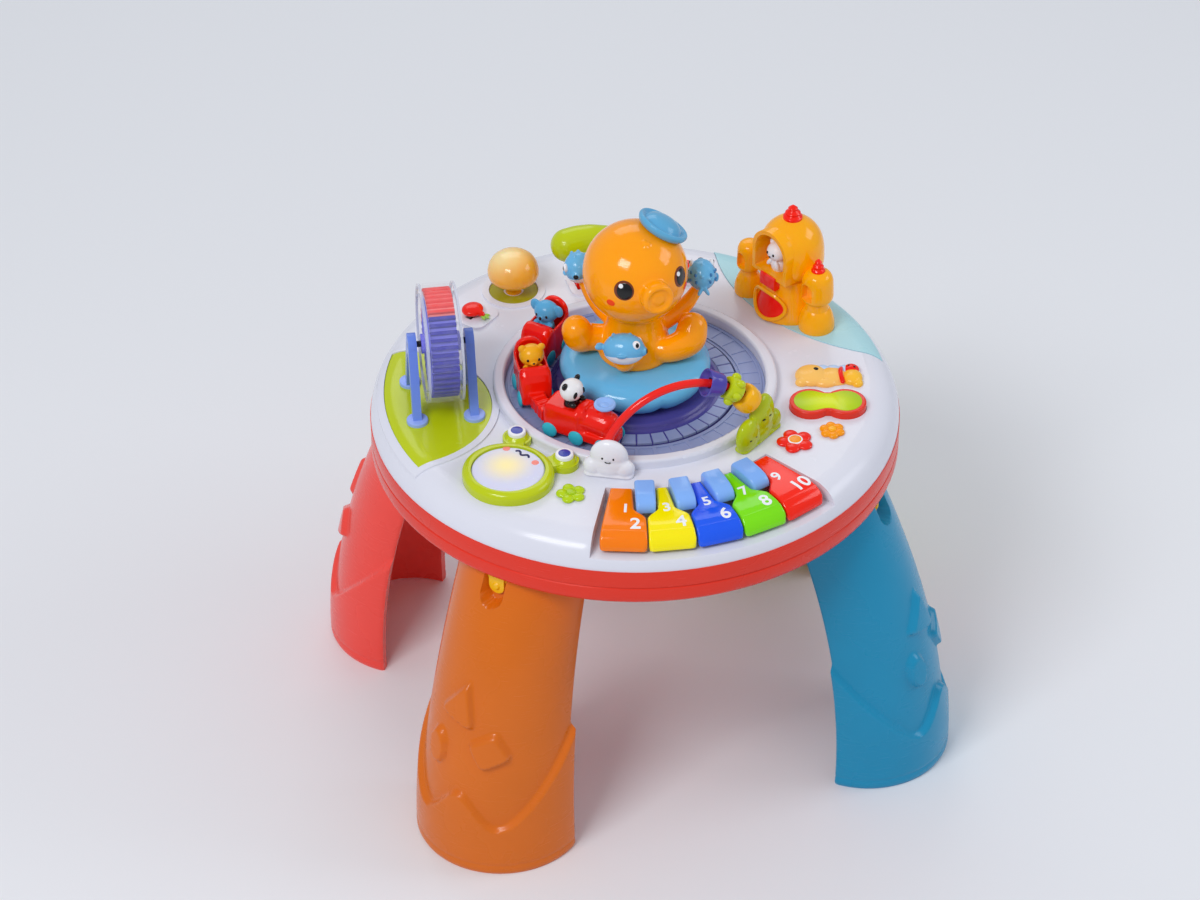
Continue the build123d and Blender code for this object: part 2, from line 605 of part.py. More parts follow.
def arch(width, height, top):
    """A round-ended outline that hangs down from a height."""
    drop = height - width / 2
    return Pos(0, top - drop / 2) * Rectangle(width, drop) + Pos(0, top - drop) * Circle(width / 2)


def latch():
    """Snap button in the recess of a leg, with a raised pip to press."""
    face = LEG_CENTRES[-1] + LEG_RADII[-1]
    top = RIM_BOTTOM_Z - FACE_GAP
    low = top - LATCH_H
    start = face - RECESS_DEPTH + LATCH_TRAVEL + FIT_GAP
    button = Pos(start, 0, 0) * extrude(Plane.YZ * arch(LATCH_W, LATCH_H, top), LATCH_DEPTH)
    rail = Pos(start, 0, top - 4) * Box(LATCH_DEPTH - 2, RECESS_W - 2 * FIT_GAP, 8 - 2 * FIT_GAP,
                                        align=(Align.MIN, Align.CENTER, Align.CENTER))
    pip = Pos(start + LATCH_DEPTH, 0, low + LATCH_W / 2) * Rot(0, 90, 0) * Cone(3.4, 2.2, 1.6, align=(
        Align.CENTER, Align.CENTER, Align.MIN))
    return button + rail + pip


# ---- Base fittings ----------------------------------------------------------
def battery_door():
    """Flush cover over the battery box, held by two screws."""
    door = upright(RectangleRounded(DOOR_X - 2 * FIT_GAP, DOOR_Y - 2 * FIT_GAP, 3), RIM_BOTTOM_Z, CASE_FLOOR_Z)
    for side in (-1, 1):
        there = Pos(side * (DOOR_X / 2 - POST_R), 0)
        door -= upright(there * Circle(SCREW_R + FIT_GAP), 0, SEAM_Z)
    return door


def screw(seat):
    """Pan-head screw: its head lies under the seat."""
    head = upright(Circle(SCREW_HEAD_R), seat - SCREW_HEAD, seat) - upright(
        Rectangle(4, 0.9) + Rectangle(0.9, 4), seat - SCREW_HEAD, seat - SCREW_HEAD + 1.2)
    return head + upright(Circle(SCREW_R), seat, seat + SCREW_LENGTH)


def screws():
    group = [spot(POST_AT, azimuth) * screw(screw_seat_z()) for azimuth in SCREW_AZ]
    for side in (-1, 1):
        group.append(Pos(side * (DOOR_X / 2 - POST_R), 0) * screw(RIM_BOTTOM_Z))
    return group


def speaker():
    """Small round speaker that faces down through the grille."""
    low = CASE_FLOOR_Z
    basket = turned_polygon((SPEAKER_R - 5, low), (SPEAKER_R, low), (SPEAKER_R, low + 3), (13, low + 12),
                            (13, low + 20), (0, low + 20), (0, low + 8), (SPEAKER_R - 7, low + 3))
    return spot(SPEAKER_AT, SPEAKER_AZ) * basket


def circuit_board():
    """Board on two ribs beside the battery box, with the sound chip's blob."""
    low = CASE_FLOOR_Z
    seated = (Align.CENTER, Align.CENTER, Align.MIN)
    board = Pos(BOARD_AT, 0, low + BOARD_LIFT) * Box(BOARD_L, BOARD_W, 1.6, align=seated)
    ribs = [Pos(BOARD_AT + s * (BOARD_L / 2 - 6), 0, low) * Box(4, BOARD_W - 6, BOARD_LIFT, align=seated)
            for s in (-1, 1)]
    blob = Pos(BOARD_AT, 8, low + BOARD_LIFT + 1.6) * Cylinder(6, 2, align=seated)
    return board + ribs + blob


def drive_motor():
    """Flat motor that stands on the case floor under its pinion."""
    can = upright(Circle(MOTOR_R), CASE_FLOOR_Z, GEAR_Z - 6) + upright(Circle(4), GEAR_Z - 6, GEAR_Z - 4)
    can -= upright(Circle(SHAFT_R + RUN_GAP), CASE_FLOOR_Z + 4, SEAM_Z + 20)
    return spot(PINION_AT, PINION_AZ) * can


def motor_pinion():
    """Pinion on the motor's shaft, in mesh with the turntable's gear."""
    outline = gear_outline(PINION_TEETH, 180 + 180 / PINION_TEETH)
    pinion = upright(outline, GEAR_Z - 1, GEAR_Z + GEAR_THICK - 1)
    shaft = upright(Circle(SHAFT_R), CASE_FLOOR_Z + 4 + FACE_GAP, GEAR_Z + GEAR_THICK)
    return spot(PINION_AT, PINION_AZ) * (pinion + shaft)


# ---- Railway and turntable --------------------------------------------------
def track_ring():
    """Grey-blue track: a ring with two rails and radial sleepers."""
    outer = WELL_R - FIT_GAP
    top = WELL_Z + TRACK_THICK
    ring = tube(outer, TRACK_INNER_R, WELL_Z, top)
    for radius in (TRACK_INNER_R + RAIL_EDGE, outer - RAIL_EDGE):
        ring += tube(radius + RAIL_WIDTH / 2, radius - RAIL_WIDTH / 2, top, top + RAIL_HEIGHT)
    length = outer - TRACK_INNER_R - 2 * RAIL_EDGE
    middle = (outer + TRACK_INNER_R) / 2
    sleeper = Box(length, SLEEPER_WIDTH, RAIL_HEIGHT * 0.6, align=(Align.CENTER, Align.CENTER, Align.MIN))
    return ring + [spot(middle, 360 * k / SLEEPERS, top) * sleeper for k in range(SLEEPERS)]


def turntable():
    """Indigo disc with a raised middle; its hub runs in the well's floor and ends in a spigot."""
    hub = TABLE_HUB_R - RUN_GAP
    rim = 2.0
    return turned_polygon(
        (0, GEAR_Z), (TABLE_SPIGOT_R, GEAR_Z), (TABLE_SPIGOT_R, GEAR_Z + GEAR_THICK), (hub, GEAR_Z + GEAR_THICK),
        (hub, TABLE_Z), (TABLE_R, TABLE_Z), (TABLE_R, TABLE_TOP - rim),
        (TABLE_R - rim, TABLE_TOP), (PLATEAU_R + rim, TABLE_TOP), (PLATEAU_R, TABLE_TOP + rim),
        (PLATEAU_R, PLATEAU_Z - rim), (PLATEAU_R - rim, PLATEAU_Z), (0, PLATEAU_Z))


def table_gear():
    """Gear on the hub's lower end, under the well's floor, with a webbed disc."""
    rim_r = GEAR_MODULE * (TABLE_TEETH - 2.5) / 2 - 5.0
    boss_r = TABLE_SPIGOT_R + 5.0
    blank = gear_outline(TABLE_TEETH, PINION_AZ) - Circle(TABLE_SPIGOT_R + RUN_GAP)
    gear = upright(blank, GEAR_Z, GEAR_Z + GEAR_THICK)
    return gear - tube(rim_r, boss_r, GEAR_Z, GEAR_Z + GEAR_THICK * 0.6)


def cushion():
    """Light-blue lobed pad on which the octopus sits."""
    top, low = CUSHION_TOP, PLATEAU_Z
    pad = turned(
        Line((0, low), (CUSHION_FOOT_R, low)),
        Spline((CUSHION_FOOT_R, low), (CUSHION_R, low + CUSHION_H * 0.62), (CUSHION_R - 12, top - 4),
               tangents=[(1, 0.5), (-1, 0.6)]),
        Spline((CUSHION_R - 12, top - 4), (BODY_R + 8, top), tangents=[(-1, 0.6), (-1, 0)]),
        Line((BODY_R + 8, top), (0, top)), Line((0, top), (0, low)))
    notch_r = 5.0
    for k in range(CUSHION_LOBES):
        angle = OCTOPUS_AZ + 360 * (k + 0.5) / CUSHION_LOBES
        pad -= spot(CUSHION_R + notch_r - LOBE_DEPTH, angle, low) * upright(Circle(notch_r), 0, CUSHION_H * 0.5)
    return pad


# ---- Octopus ----------------------------------------------------------------
def arm_points(angle, reach, rise, start=None):
    """Root, two bends and tip of an arm, seen from the octopus's axis."""
    a = radians(OCTOPUS_AZ + angle)
    base = CUSHION_TOP + 12
    start = BODY_R * 0.55 if start is None else start
    steps = ((start, base), (reach * 0.62, base + rise * 0.10 - 1), (reach * 0.88, base + rise * 0.45),
             (reach, base + rise))
    return [(r * cos(a), r * sin(a), z) for r, z in steps]


def octopus_body():
    """Trunk, four lying arms and two raised ones, seated on the cushion."""
    low, neck = CUSHION_TOP, CUSHION_TOP + BODY_H
    trunk = turned(
        Polyline((0, neck), (0, low), (BODY_R, low)),
        Spline((BODY_R, low), (BODY_R - 1, low + 9), (NECK_R + 1, neck - 8), (NECK_R, neck)),
        Line((NECK_R, neck), (0, neck)))
    body = trunk
    thick, thin = ARM_ROOT_R, HIGH_ARM_R
    for angle in LOW_ARMS:
        body += limb(arm_points(angle, LOW_ARM_REACH, 4), (thick, thick * 0.95, thick * 0.95, thick * 0.95), ARM_TIP_R)
    front = arm_points(FISH_ARM, FISH_ARM_REACH, 0, start=BODY_R * 0.2)
    body += limb(front, (thick, thick * 0.98, thick * 0.95, thick * 0.9), thick * 1.08)
    for angle in HIGH_ARMS:
        body += limb(arm_points(angle, HIGH_ARM_REACH, HIGH_ARM_RISE * 0.5), (thick, thin * 1.3, thin, thin * 0.9), thin * 1.15)
    return body - cushion() - head_ball()


def head_centre():
    return Vector(0, 0, DECK_Z + HEAD_Z)


def head_ball():
    return Pos(head_centre()) * Sphere(HEAD_R)


def octopus_head():
    """Round head with its spout, on the neck of the body."""
    neck = upright(Circle(NECK_R), CUSHION_TOP + BODY_H, DECK_Z + HEAD_Z)
    there = Pos(head_centre()) * Rot(0, 0, OCTOPUS_AZ) * Rot(0, 90, 0)
    out = HEAD_R + SNOUT_OUT
    snout = there * upright(Circle(SNOUT_R), 0, out)
    snout = fillet(snout.edges().group_by(SortBy.DISTANCE)[0:0] or snout.edges().filter_by(GeomType.CIRCLE)
                   .sort_by_distance(there.position + there.z_axis.direction * out)[0:1], 4.5)
    return head_ball() + neck + snout


def octopus_cap():
    """Round cap with a rolled brim, tilted on the head."""
    under = HEAD_R + FACE_GAP
    edge = asin(CAP_R / under)
    seat = under * cos(edge)
    brim = seat + 5.0
    lean = Rot(0, 0, OCTOPUS_AZ + 90) * Rot(0, CAP_TILT, 0)
    crown = turned(
        CenterArc((0, 0), under, 90, -degrees(edge)),
        ThreePointArc((CAP_R, seat), (CAP_R + 2, seat + 2.4), (CAP_R - 1, brim)),
        Spline((CAP_R - 1, brim), (CAP_R - 5, under + CAP_H - 5), (0, under + CAP_H),
               tangents=[(-0.4, 1), (-1, 0)]),
        Line((0, under + CAP_H), (0, under)))
    return Pos(head_centre()) * lean * crown


def fish_places():
    """Centres of the three pufferfish: in the two raised arms and on the front one."""
    places = []
    for angle in HIGH_ARMS:
        x, y, z = arm_points(angle, HIGH_ARM_REACH, HIGH_ARM_RISE * 0.5)[-1]
        places.append((x * 1.07, y * 1.07, z + 12))
    x, y, z = arm_points(FISH_ARM, FISH_ARM_REACH, 0)[-1]
    places.append((x * 1.05, y * 1.05, z + 13))
    return places


def pufferfish():
    """Three round fish with tails, seated in the arms that hold them."""
    holder = octopus_body() + head_ball()
    group = []
    for x, y, z in fish_places():
        away = degrees(atan(y / x)) + (180 if x < 0 else 0)
        fish = Sphere(FISH_R) + Pos(0, FISH_R + 1, 2) * Rot(90, 0, 0) * Cone(3.0, 5.5, 6)
        group.append(Pos(x, y, z) * Rot(0, 0, away) * fish - holder)
    return group


# ---- Train ------------------------------------------------------------------
def car_places():
    """Azimuth and length of each car."""
    return ((LOCO_AZ, LOCO_L),) + tuple((azimuth, WAGON_L) for azimuth in WAGON_AZ)


def car_z():
    return DECK_Z + CAR_FLOOR


def locomotive():
    """Engine: chassis, boiler, funnel, cab seat and the peg that the turntable carries."""
    low = car_z()
    half = LOCO_L / 2
    chassis = Pos(0, 0, low) * extrude(RectangleRounded(TRAIN_W, LOCO_L, 5), 7)
    boiler = Pos(0, half - 20, low + 14) * Rot(90, 0, 0) * Cylinder(BOILER_R, 38)
    saddle = Pos(0, half - 20, low) * Box(16, 34, 14, align=(Align.CENTER, Align.CENTER, Align.MIN))
    cab = Pos(0, -half + 12, low) * extrude(RectangleRounded(TRAIN_W, 23, 4), CAR_H)
    cab -= Pos(0, -half + 13, low + 12) * extrude(RectangleRounded(TRAIN_W - 6, 15, 3), CAR_H)
    funnel = Pos(0, half - 13, low + 20) * Cone(4.5, FUNNEL_R, 15, align=(Align.CENTER, Align.CENTER, Align.MIN))
    engine = chassis + boiler + saddle + cab + funnel
    return spot(TRAIN_R, LOCO_AZ) * (engine + car_peg())


def car_peg():
    """Foot under a car that stands on the turntable."""
    outer = TABLE_R - 2.5 - TRAIN_R
    inner = FACE_GAP - TRAIN_W / 2
    return Pos(inner, 0, TABLE_TOP) * Box(outer - inner, 18, car_z() - TABLE_TOP + 1,
                                          align=(Align.MIN, Align.CENTER, Align.MIN))


def wagon(azimuth):
    """Open wagon with a round-topped seat back and a coupling bar to the car ahead."""
    low = car_z()
    half = WAGON_L / 2
    body = Pos(0, 0, low) * extrude(RectangleRounded(TRAIN_W, WAGON_L, 5), CAR_H - 3)
    body -= Pos(0, WAGON_SEAT, low + 8) * extrude(RectangleRounded(TRAIN_W - 6, 20, 4), CAR_H)
    back = Pos(0, -half + 5, 0) * extrude(Plane.XZ * (Pos(0, low + CAR_H - 4) * Circle(TRAIN_W / 2 - 2)
                                                      + Pos(0, low + 10) * Rectangle(TRAIN_W - 4, 12)), 2.5, both=True)
    bar = Pos(0, half + 3, low + 2) * Box(7, 10, 5, align=(Align.CENTER, Align.CENTER, Align.MIN))
    return spot(TRAIN_R, azimuth) * (body + back + bar + car_peg())


def wagons():
    return [wagon(azimuth) for azimuth in WAGON_AZ]


def train_wheels():
    """Teal wheels, pressed on stub axles on both sides of each car."""
    group = []
    height = TABLE_TOP + TRAIN_WHEEL_R + FACE_GAP
    for azimuth, length in car_places():
        stations = (-24, 0, 24) if length == LOCO_L else (-12, 12)
        for along in stations:
            for side in (-1, 1):
                out = side * (TRAIN_W / 2 + FACE_GAP)
                wheel = Rot(0, side * 90, 0) * Cylinder(TRAIN_WHEEL_R, TRAIN_WHEEL_T, align=(
                    Align.CENTER, Align.CENTER, Align.MIN))
                group.append(spot(TRAIN_R, azimuth) * Pos(out, along, height) * wheel)
    return group


def train_animals():
    """Three riders, each a round head with two ears on a body that sits in its car."""
    group = []
    for azimuth, length in car_places():
        along = -LOCO_L / 2 + 13 if length == LOCO_L else WAGON_SEAT
        seat = car_z() + (12 if length == LOCO_L else 8)
        body = Pos(0, along, seat) * Cone(7, 6, 10, align=(Align.CENTER, Align.CENTER, Align.MIN))
        head = Pos(0, along, seat + 8 + ANIMAL_R) * Sphere(ANIMAL_R)
        ears = [Pos(side * 6.5, along, seat + 15 + ANIMAL_R) * Sphere(3.2) for side in (-1, 1)]
        group.append(spot(TRAIN_R, azimuth) * (body + head + ears))
    return group


# ---- Big wheel --------------------------------------------------------------
def wheel_place():
    """Local Z along the wheel's axle, away from the table's axis; local X up."""
    return spot(WHEEL_AT, WHEEL_AZ, AXLE_Z) * Rot(0, 90, 0)


def wheel_slab(outline, thickness):
    return wheel_place() * Pos(0, 0, -thickness / 2) * extrude(outline, thickness)


def ferris_drum():
    """Clear drum: a rim and two side walls, open at the hub."""
    half, wall = WHEEL_W / 2, WHEEL_WALL
    bore = HUB_R + RUN_GAP
    ring = turned_polygon((bore, -half), (WHEEL_R - 2, -half), (WHEEL_R, -half + 2), (WHEEL_R, half - 2),
                          (WHEEL_R - 2, half), (bore, half), (bore, half - wall), (WHEEL_R - wall, half - wall),
                          (WHEEL_R - wall, -half + wall), (bore, -half + wall))
    return wheel_place() * ring


def ferris_insert():
    """Ribbed two-colour drum inside, with the hub that carries the clear one."""
    step = 360 / INSERT_RIBS
    points = []
    for k in range(INSERT_RIBS):
        for radius, part in ((INSERT_R - INSERT_RIB, 0.0), (INSERT_R, 0.25), (INSERT_R, 0.5),
                             (INSERT_R - INSERT_RIB, 0.75)):
            a = radians((k + part) * step)
            points.append((radius * cos(a), radius * sin(a)))
    ribbed = make_face(Polyline(*points, close=True)) - Circle(INSERT_R - 3 * INSERT_RIB)
    web = wheel_slab(Circle(INSERT_R - 2 * INSERT_RIB) - Circle(WHEEL_AXLE_R), 3)
    hub = wheel_slab(Circle(HUB_R) - Circle(WHEEL_AXLE_R), WHEEL_W + 2)
    return wheel_slab(ribbed, INSERT_W) + web + hub


def ferris_axle():
    return wheel_slab(Circle(WHEEL_AXLE_R), FRAME_SPREAD + FRAME_THICK)


def ferris_frames():
    """Two A-frames with round feet; the axle turns in their heads."""
    foot_z = PANEL_PROUD + DECK_Z - AXLE_Z          # panel's face, seen from the axle
    head = 9.5
    outline = Circle(head)
    for s in (-1, 1):
        outline += Polygon((s * (FRAME_FOOT + FRAME_LEG_W / 2), foot_z), (s * (FRAME_FOOT - FRAME_LEG_W / 2), foot_z),
                           (s * (head - FRAME_LEG_W), 0), (s * head, 0), align=None)
    outline -= Circle(WHEEL_AXLE_R + RUN_GAP)
    group = []
    for side in (-1, 1):
        there = spot(WHEEL_AT, WHEEL_AZ, AXLE_Z) * Pos(side * FRAME_SPREAD / 2, 0, 0)
        frame = extrude(Plane.YZ * outline, FRAME_THICK / 2, both=True)
        for s in (-1, 1):
            frame += Pos(0, s * FRAME_FOOT, foot_z) * Cylinder(FOOT_R, FOOT_H, align=(
                Align.CENTER, Align.CENTER, Align.MIN))
        group.append(there * frame - ferris_panel())
    return group


def ferris_panel():
    """Lime panel let into the deck under the big wheel."""
    return panel(lens(*WHEEL_LENS), -PANEL_SINK, PANEL_PROUD)


# ---- Bead loop --------------------------------------------------------------
def loop_frame():
    """Plane of the loop: local X along it, local Y up, origin at the arc's centre."""
    return Plane(origin=(LOOP_X, LOOP_Y, DECK_Z), x_dir=(1, 0, 0), z_dir=(0, -1, 0))


def loop_tube(grow=0.0):
    """Red tube bent to an arc, its ends set into the two posts."""
    path = loop_frame() * CenterArc((0, 0), LOOP_R, LOOP_FROM, LOOP_TO - LOOP_FROM)
    return sweep(Plane(origin=path @ 0, z_dir=path % 0) * Circle(LOOP_TUBE_R + grow), path)


def post(outline, radius, azimuth):
    """A flat figure that stands along the well's lip and holds an end of the tube."""
    solid = extrude(Plane.YZ * outline, POST_THICK / 2, both=True)
    return seated(spot(radius, azimuth, DECK_Z) * solid) - loop_tube()


def cloud_post():
    """White cloud: a flat foot with two small puffs and a tall middle one."""
    side = CLOUD_W / 2
    small = 8.0
    outline = Pos(0, CLOUD_H - 15.5) * Circle(15.5) + Pos(0, 7) * Rectangle(CLOUD_W - 2 * small, 14)
    for s in (-1, 1):
        outline += Pos(s * (side - small), small) * Circle(small)
        outline += Pos(s * (side - small) / 2, small / 2) * Rectangle(side - small, small)
    return post(outline, CLOUD_AT, CLOUD_AZ)


def hill_post():
    """Green twin hills, the taller one under the beads."""
    side = HILL_W / 2
    outline = Pos(1, HILL_H - 14) * Circle(14) + Pos(1, (HILL_H - 14) / 2) * Rectangle(28, HILL_H - 14)
    outline += Pos(-side + 11, 11) * Circle(11) + Pos(-side + 11, 5.5) * Rectangle(22, 11)
    outline += Pos(side - 8, 8) * Circle(8) + Pos(side - 8, 4) * Rectangle(16, 8)
    outline += Pos(0, 5) * Rectangle(HILL_W - 22, 10)
    return post(outline, HILL_AT, HILL_AZ)


def bead_place(angle):
    """Local Z along the tube at an angle on the arc."""
    a = radians(angle)
    there = loop_frame()
    at = there.from_local_coords(Vector(LOOP_R * cos(a), LOOP_R * sin(a), 0))
    along = there.from_local_coords(Vector(-sin(a), cos(a), 0)) - there.origin
    return Plane(origin=at, z_dir=along)


def bead(sizes):
    """A turned bead with softened ends and a bore that clears the bent tube."""
    angle, half, radius = sizes
    soft = 2.2
    ring = turned_polygon((BEAD_BORE_R, -half), (radius - soft, -half), (radius, -half + soft),
                          (radius, half - soft), (radius - soft, half), (BEAD_BORE_R, half))
    return bead_place(angle) * ring


def bead_purple():
    """Wide ring bead with a dished end."""
    angle, half, radius = PURPLE_BEAD
    dish = bead_place(angle) * Pos(0, 0, half - 4) * Cone(BEAD_BORE_R, radius - 3, 4, align=(
        Align.CENTER, Align.CENTER, Align.MIN))
    return bead(PURPLE_BEAD) - dish


def bead_lime():
    """Cog bead: a ring with round knobs."""
    angle, half, radius = LIME_BEAD
    cog = bead(LIME_BEAD)
    for k in range(COG_KNOBS):
        knob = Rot(0, 0, 360 * (k + 0.5) / COG_KNOBS) * Pos(radius, 0, 0) * Sphere(COG_KNOB_R)
        cog += bead_place(angle) * knob
    return cog


def bead_yellow():
    return bead(YELLOW_BEAD)


# ---- Piano ------------------------------------------------------------------
def key_azimuth(k):
    return PIANO_AZ + (k - (KEYS - 1) / 2) * KEY_PITCH


def key_axle_r():
    return KEY_BACK_R + 4.0


def key_axle_z():
    return TRAY_Z + 3.4


def short_key_outline(k, grow=0.0):
    """Foot of the short key between keys k and k + 1."""
    azimuth = PIANO_AZ + (k - (KEYS - 2) / 2) * KEY_PITCH
    middle = TRAY_BACK_R + FIT_GAP + SHORT_KEY_L / 2
    return spot(middle, azimuth) * RectangleRounded(SHORT_KEY_L + 2 * grow, SHORT_KEY_W + 2 * grow, 3)


def key(k):
    """One long key: hollow, with a sloping front, and a hinge barrel under its back."""
    middle_r = (KEY_BACK_R + KEY_FRONT_R) / 2
    half = KEY_PITCH / 2 - degrees(KEY_SLIT / 2 / middle_r)
    azimuth = key_azimuth(k)
    top = DECK_Z + KEY_TOP
    low = top - KEY_THICK
    outline = sector(KEY_BACK_R, KEY_FRONT_R, half, azimuth)
    for n in (k - 1, k):
        if 0 <= n < KEYS - 1:
            outline -= short_key_outline(n, KEY_SLIT)
    solid = upright(outline, low, top)
    solid += upright(sector(KEY_FRONT_R - KEY_WALL, KEY_FRONT_R, half, azimuth), low - KEY_APRON, top)
    front, slope = KEY_FRONT_R, KEY_SLOPE
    solid -= turned_polygon((front - slope, top), (front - slope * 0.45, top - slope * 0.22),
                            (front - slope * 0.12, top - slope * 0.5), (front + 1, top - slope * 0.9),
                            (front + 1, top + 1), (front - slope, top + 1))
    hollow = offset(outline, -KEY_WALL, kind=Kind.INTERSECTION)
    solid -= upright(hollow & sector(KEY_BACK_R, front - slope + 1, half, azimuth), low, top - KEY_WALL)
    there = spot(key_axle_r(), azimuth)
    rib = there * Pos(0, 0, key_axle_z()) * Box(2.4, 8, low + KEY_WALL - key_axle_z() + 5,
                                               align=(Align.CENTER, Align.CENTER, Align.MIN))
    bridge = there * Pos(0, 0, low + KEY_WALL) * Box(8, 9, 3, align=(Align.CENTER, Align.CENTER, Align.MIN))
    barrel = there * Pos(0, 0, key_axle_z()) * Rot(90, 0, 0) * Cylinder(BARREL_R, 8)
    return solid + rib + bridge + barrel


def short_keys():
    """Four light-blue short keys, fixed in the tray between the long ones."""
    return [crowned(short_key_outline(k), TRAY_Z, DECK_Z + SHORT_KEY_TOP, 2.5) for k in range(KEYS - 1)]


# ---- Push buttons, lever and switch ------------------------------------------
def catch(outline_grown):
    """Catch under the deck that keeps a button from lifting out."""
    top = DECK_Z - CASE_WALL - FIT_GAP
    return upright(outline_grown, top - FLANGE, top)


def mushroom_dome():
    """Glowing mushroom: flattened cap on a stem that is pressed down into the deck."""
    top = DECK_Z + MUSHROOM_H
    gill = top - 24.0
    cap = turned(
        Spline((0, top), (MUSHROOM_R * 0.72, top - 5.5), (MUSHROOM_R, top - 16),
               tangents=[(1, 0), (0, -1)]),
        Spline((MUSHROOM_R, top - 16), (MUSHROOM_R * 0.8, gill - 1.5), (MUSHROOM_STEM_R, gill - 3),
               tangents=[(0, -1), (-1, 0)]),
        Polyline((MUSHROOM_STEM_R, gill - 3), (0, gill - 3), (0, top)))
    stem = upright(Circle(MUSHROOM_STEM_R), DECK_Z - CASE_WALL - FIT_GAP - FLANGE, gill)
    return spot(MUSHROOM_AT, MUSHROOM_AZ) * (cap + stem + catch(Circle(MUSHROOM_STEM_R + FLANGE)))


def rear_button():
    """Oval red button with a dished top."""
    oval = Ellipse(REAR_L / 2, REAR_W / 2)
    low = DECK_Z - CASE_WALL - FIT_GAP - FLANGE
    button = crowned(oval, low, DECK_Z + 7, 2.5)
    dish = upright(Ellipse(REAR_L / 2 - 6, REAR_W / 2 - 6), DECK_Z + 5, DECK_Z + 8)
    return spot(REAR_AT, REAR_AZ, 0, 90) * (button - dish + catch(Ellipse(REAR_L / 2 + FLANGE, REAR_W / 2 + FLANGE)))


def lever_stem():
    """Red stem of the shift lever, from its pivot under the deck to the grip."""
    pivot = DECK_Z - LEVER_PIVOT
    blade = upright(Rectangle(STEM_T, STEM_W), pivot, DECK_Z + GRIP_H)
    across = Pos(0, 0, pivot) * Rot(90, 0, 0)
    boss = across * Cylinder(STEM_T / 2 + 1, STEM_W)
    trunnions = across * Cylinder(TRUNNION_R, STEM_W + 2 * (FACE_GAP + EAR_T))
    return spot(LEVER_AT, LEVER_AZ) * (blade + boss + trunnions) - lever_grip()


def lever_grip():
    """Lime grip: a fat bar with full round ends."""
    half = GRIP_L / 2
    profile = make_face([
        Line((0, 0), (GRIP_R * 0.97, 0)),
        Spline((GRIP_R * 0.97, 0), (GRIP_R, half * 0.45), (0, half), tangents=[(0, 1), (-1, 0)]),
        Line((0, half), (0, 0))])
    bar = revolve(profile, Axis.Y)
    bar += mirror(bar, Plane.XZ)
    return spot(LEVER_AT, LEVER_AZ, DECK_Z + GRIP_H) * bar


def switch_knob():
    """Red radish-shaped slide knob with a leaf tip."""
    low = DECK_Z + 2.0 + FACE_GAP
    leaf = Pos(-SWITCH_R, 0) * Polygon((-7, -1.5), (4, -5), (4, 5), (-7, 1.5), align=None)
    knob = crowned(Ellipse(SWITCH_R, SWITCH_R * 0.92), low, low + 8, 3.0) + upright(leaf, low, low + 4)
    tongue = upright(Rectangle(6 - 2 * FIT_GAP, 7.4), DECK_Z - CASE_WALL - 2, low)
    return spot(SWITCH_AT, SWITCH_AZ) * (knob + tongue)


def song_plate():
    """Peanut-shaped song button."""
    low = DECK_Z - CASE_WALL - FIT_GAP - FLANGE
    plate = crowned(song_outline(), low, DECK_Z + SONG_H, 1.5)
    return song_place() * (plate + catch(song_outline(FLANGE)))


def song_animal():
    """Lying animal beside the song button, fixed on the deck."""
    return animal_place() * crowned(animal_outline(), DECK_Z, DECK_Z + 7.5, 3.0) - song_place() * upright(
        song_outline(2 * FIT_GAP), 0, DECK_Z + 20)


def flower_red():
    """Five-petalled push button."""
    radius, azimuth, size = RED_FLOWER
    head = crowned(flower(size, 5), DECK_Z + PRESS + FACE_GAP, DECK_Z + PRESS + FACE_GAP + FLOWER_H, 1.2)
    centre = Pos(0, 0, DECK_Z + PRESS + FLOWER_H) * Cylinder(size * 0.3, 2.4, align=(
        Align.CENTER, Align.CENTER, Align.MIN))
    stalk = upright(Circle(size * 0.5), DECK_Z - CASE_WALL - FIT_GAP - FLANGE, DECK_Z + PRESS + 1)
    return spot(radius, azimuth) * (head + centre + stalk + catch(Circle(size * 0.5 + FLANGE)))


def small_flowers():
    """Orange and lime flowers, pressed on the deck as ornaments."""
    group = []
    for (radius, azimuth, size), petals in ((ORANGE_FLOWER, 6), (LIME_FLOWER, 5)):
        head = crowned(flower(size, petals), DECK_Z, DECK_Z + FLOWER_H, 1.0)
        centre = Pos(0, 0, DECK_Z + FLOWER_H) * Cylinder(size * 0.24, 1.2, align=(
            Align.CENTER, Align.CENTER, Align.MIN))
        group.append(spot(radius, azimuth) * (head + centre))
    return group


def frog_rim():
    """Lime frog face: a raised rim round the drum and two domed eyes."""
    top = DECK_Z + FROG_H
    low = DECK_Z - SINK
    rim = crowned(Ellipse(FROG_R * 0.98, FROG_R * 1.03), low, top, 5.0)
    for s in (-1, 1):
        there = Rot(0, 0, 180 + s * FROG_EYE_TURN)
        dome = Pos(0, 0, DECK_Z + 6) * Sphere(FROG_EYE_R, arc_size1=0)
        rim += there * Pos(FROG_EYE_AT, 0) * (upright(Circle(FROG_EYE_R), low, DECK_Z + 6) + dome)
        rim += there * Pos(FROG_EYE_AT - 12, 0) * upright(Rectangle(16, 14), low, DECK_Z + 7)
    rim -= upright(Circle(FROG_DRUM_R + FIT_GAP), low, top + 20)
    return seated(spot(FROG_AT, FROG_AZ) * rim)


def frog_drum():
    """Milky drum skin, pressed down to play."""
    low = DECK_Z + PRESS + FACE_GAP
    return spot(FROG_AT, FROG_AZ) * crowned(Circle(FROG_DRUM_R), low, DECK_Z + FROG_H - 1.2, 1.5)


# ---- Castle -----------------------------------------------------------------
def castle_place():
    """Local -X faces the table's axis."""
    return spot(CASTLE_AT, CASTLE_AZ, DECK_Z + PANEL_PROUD)


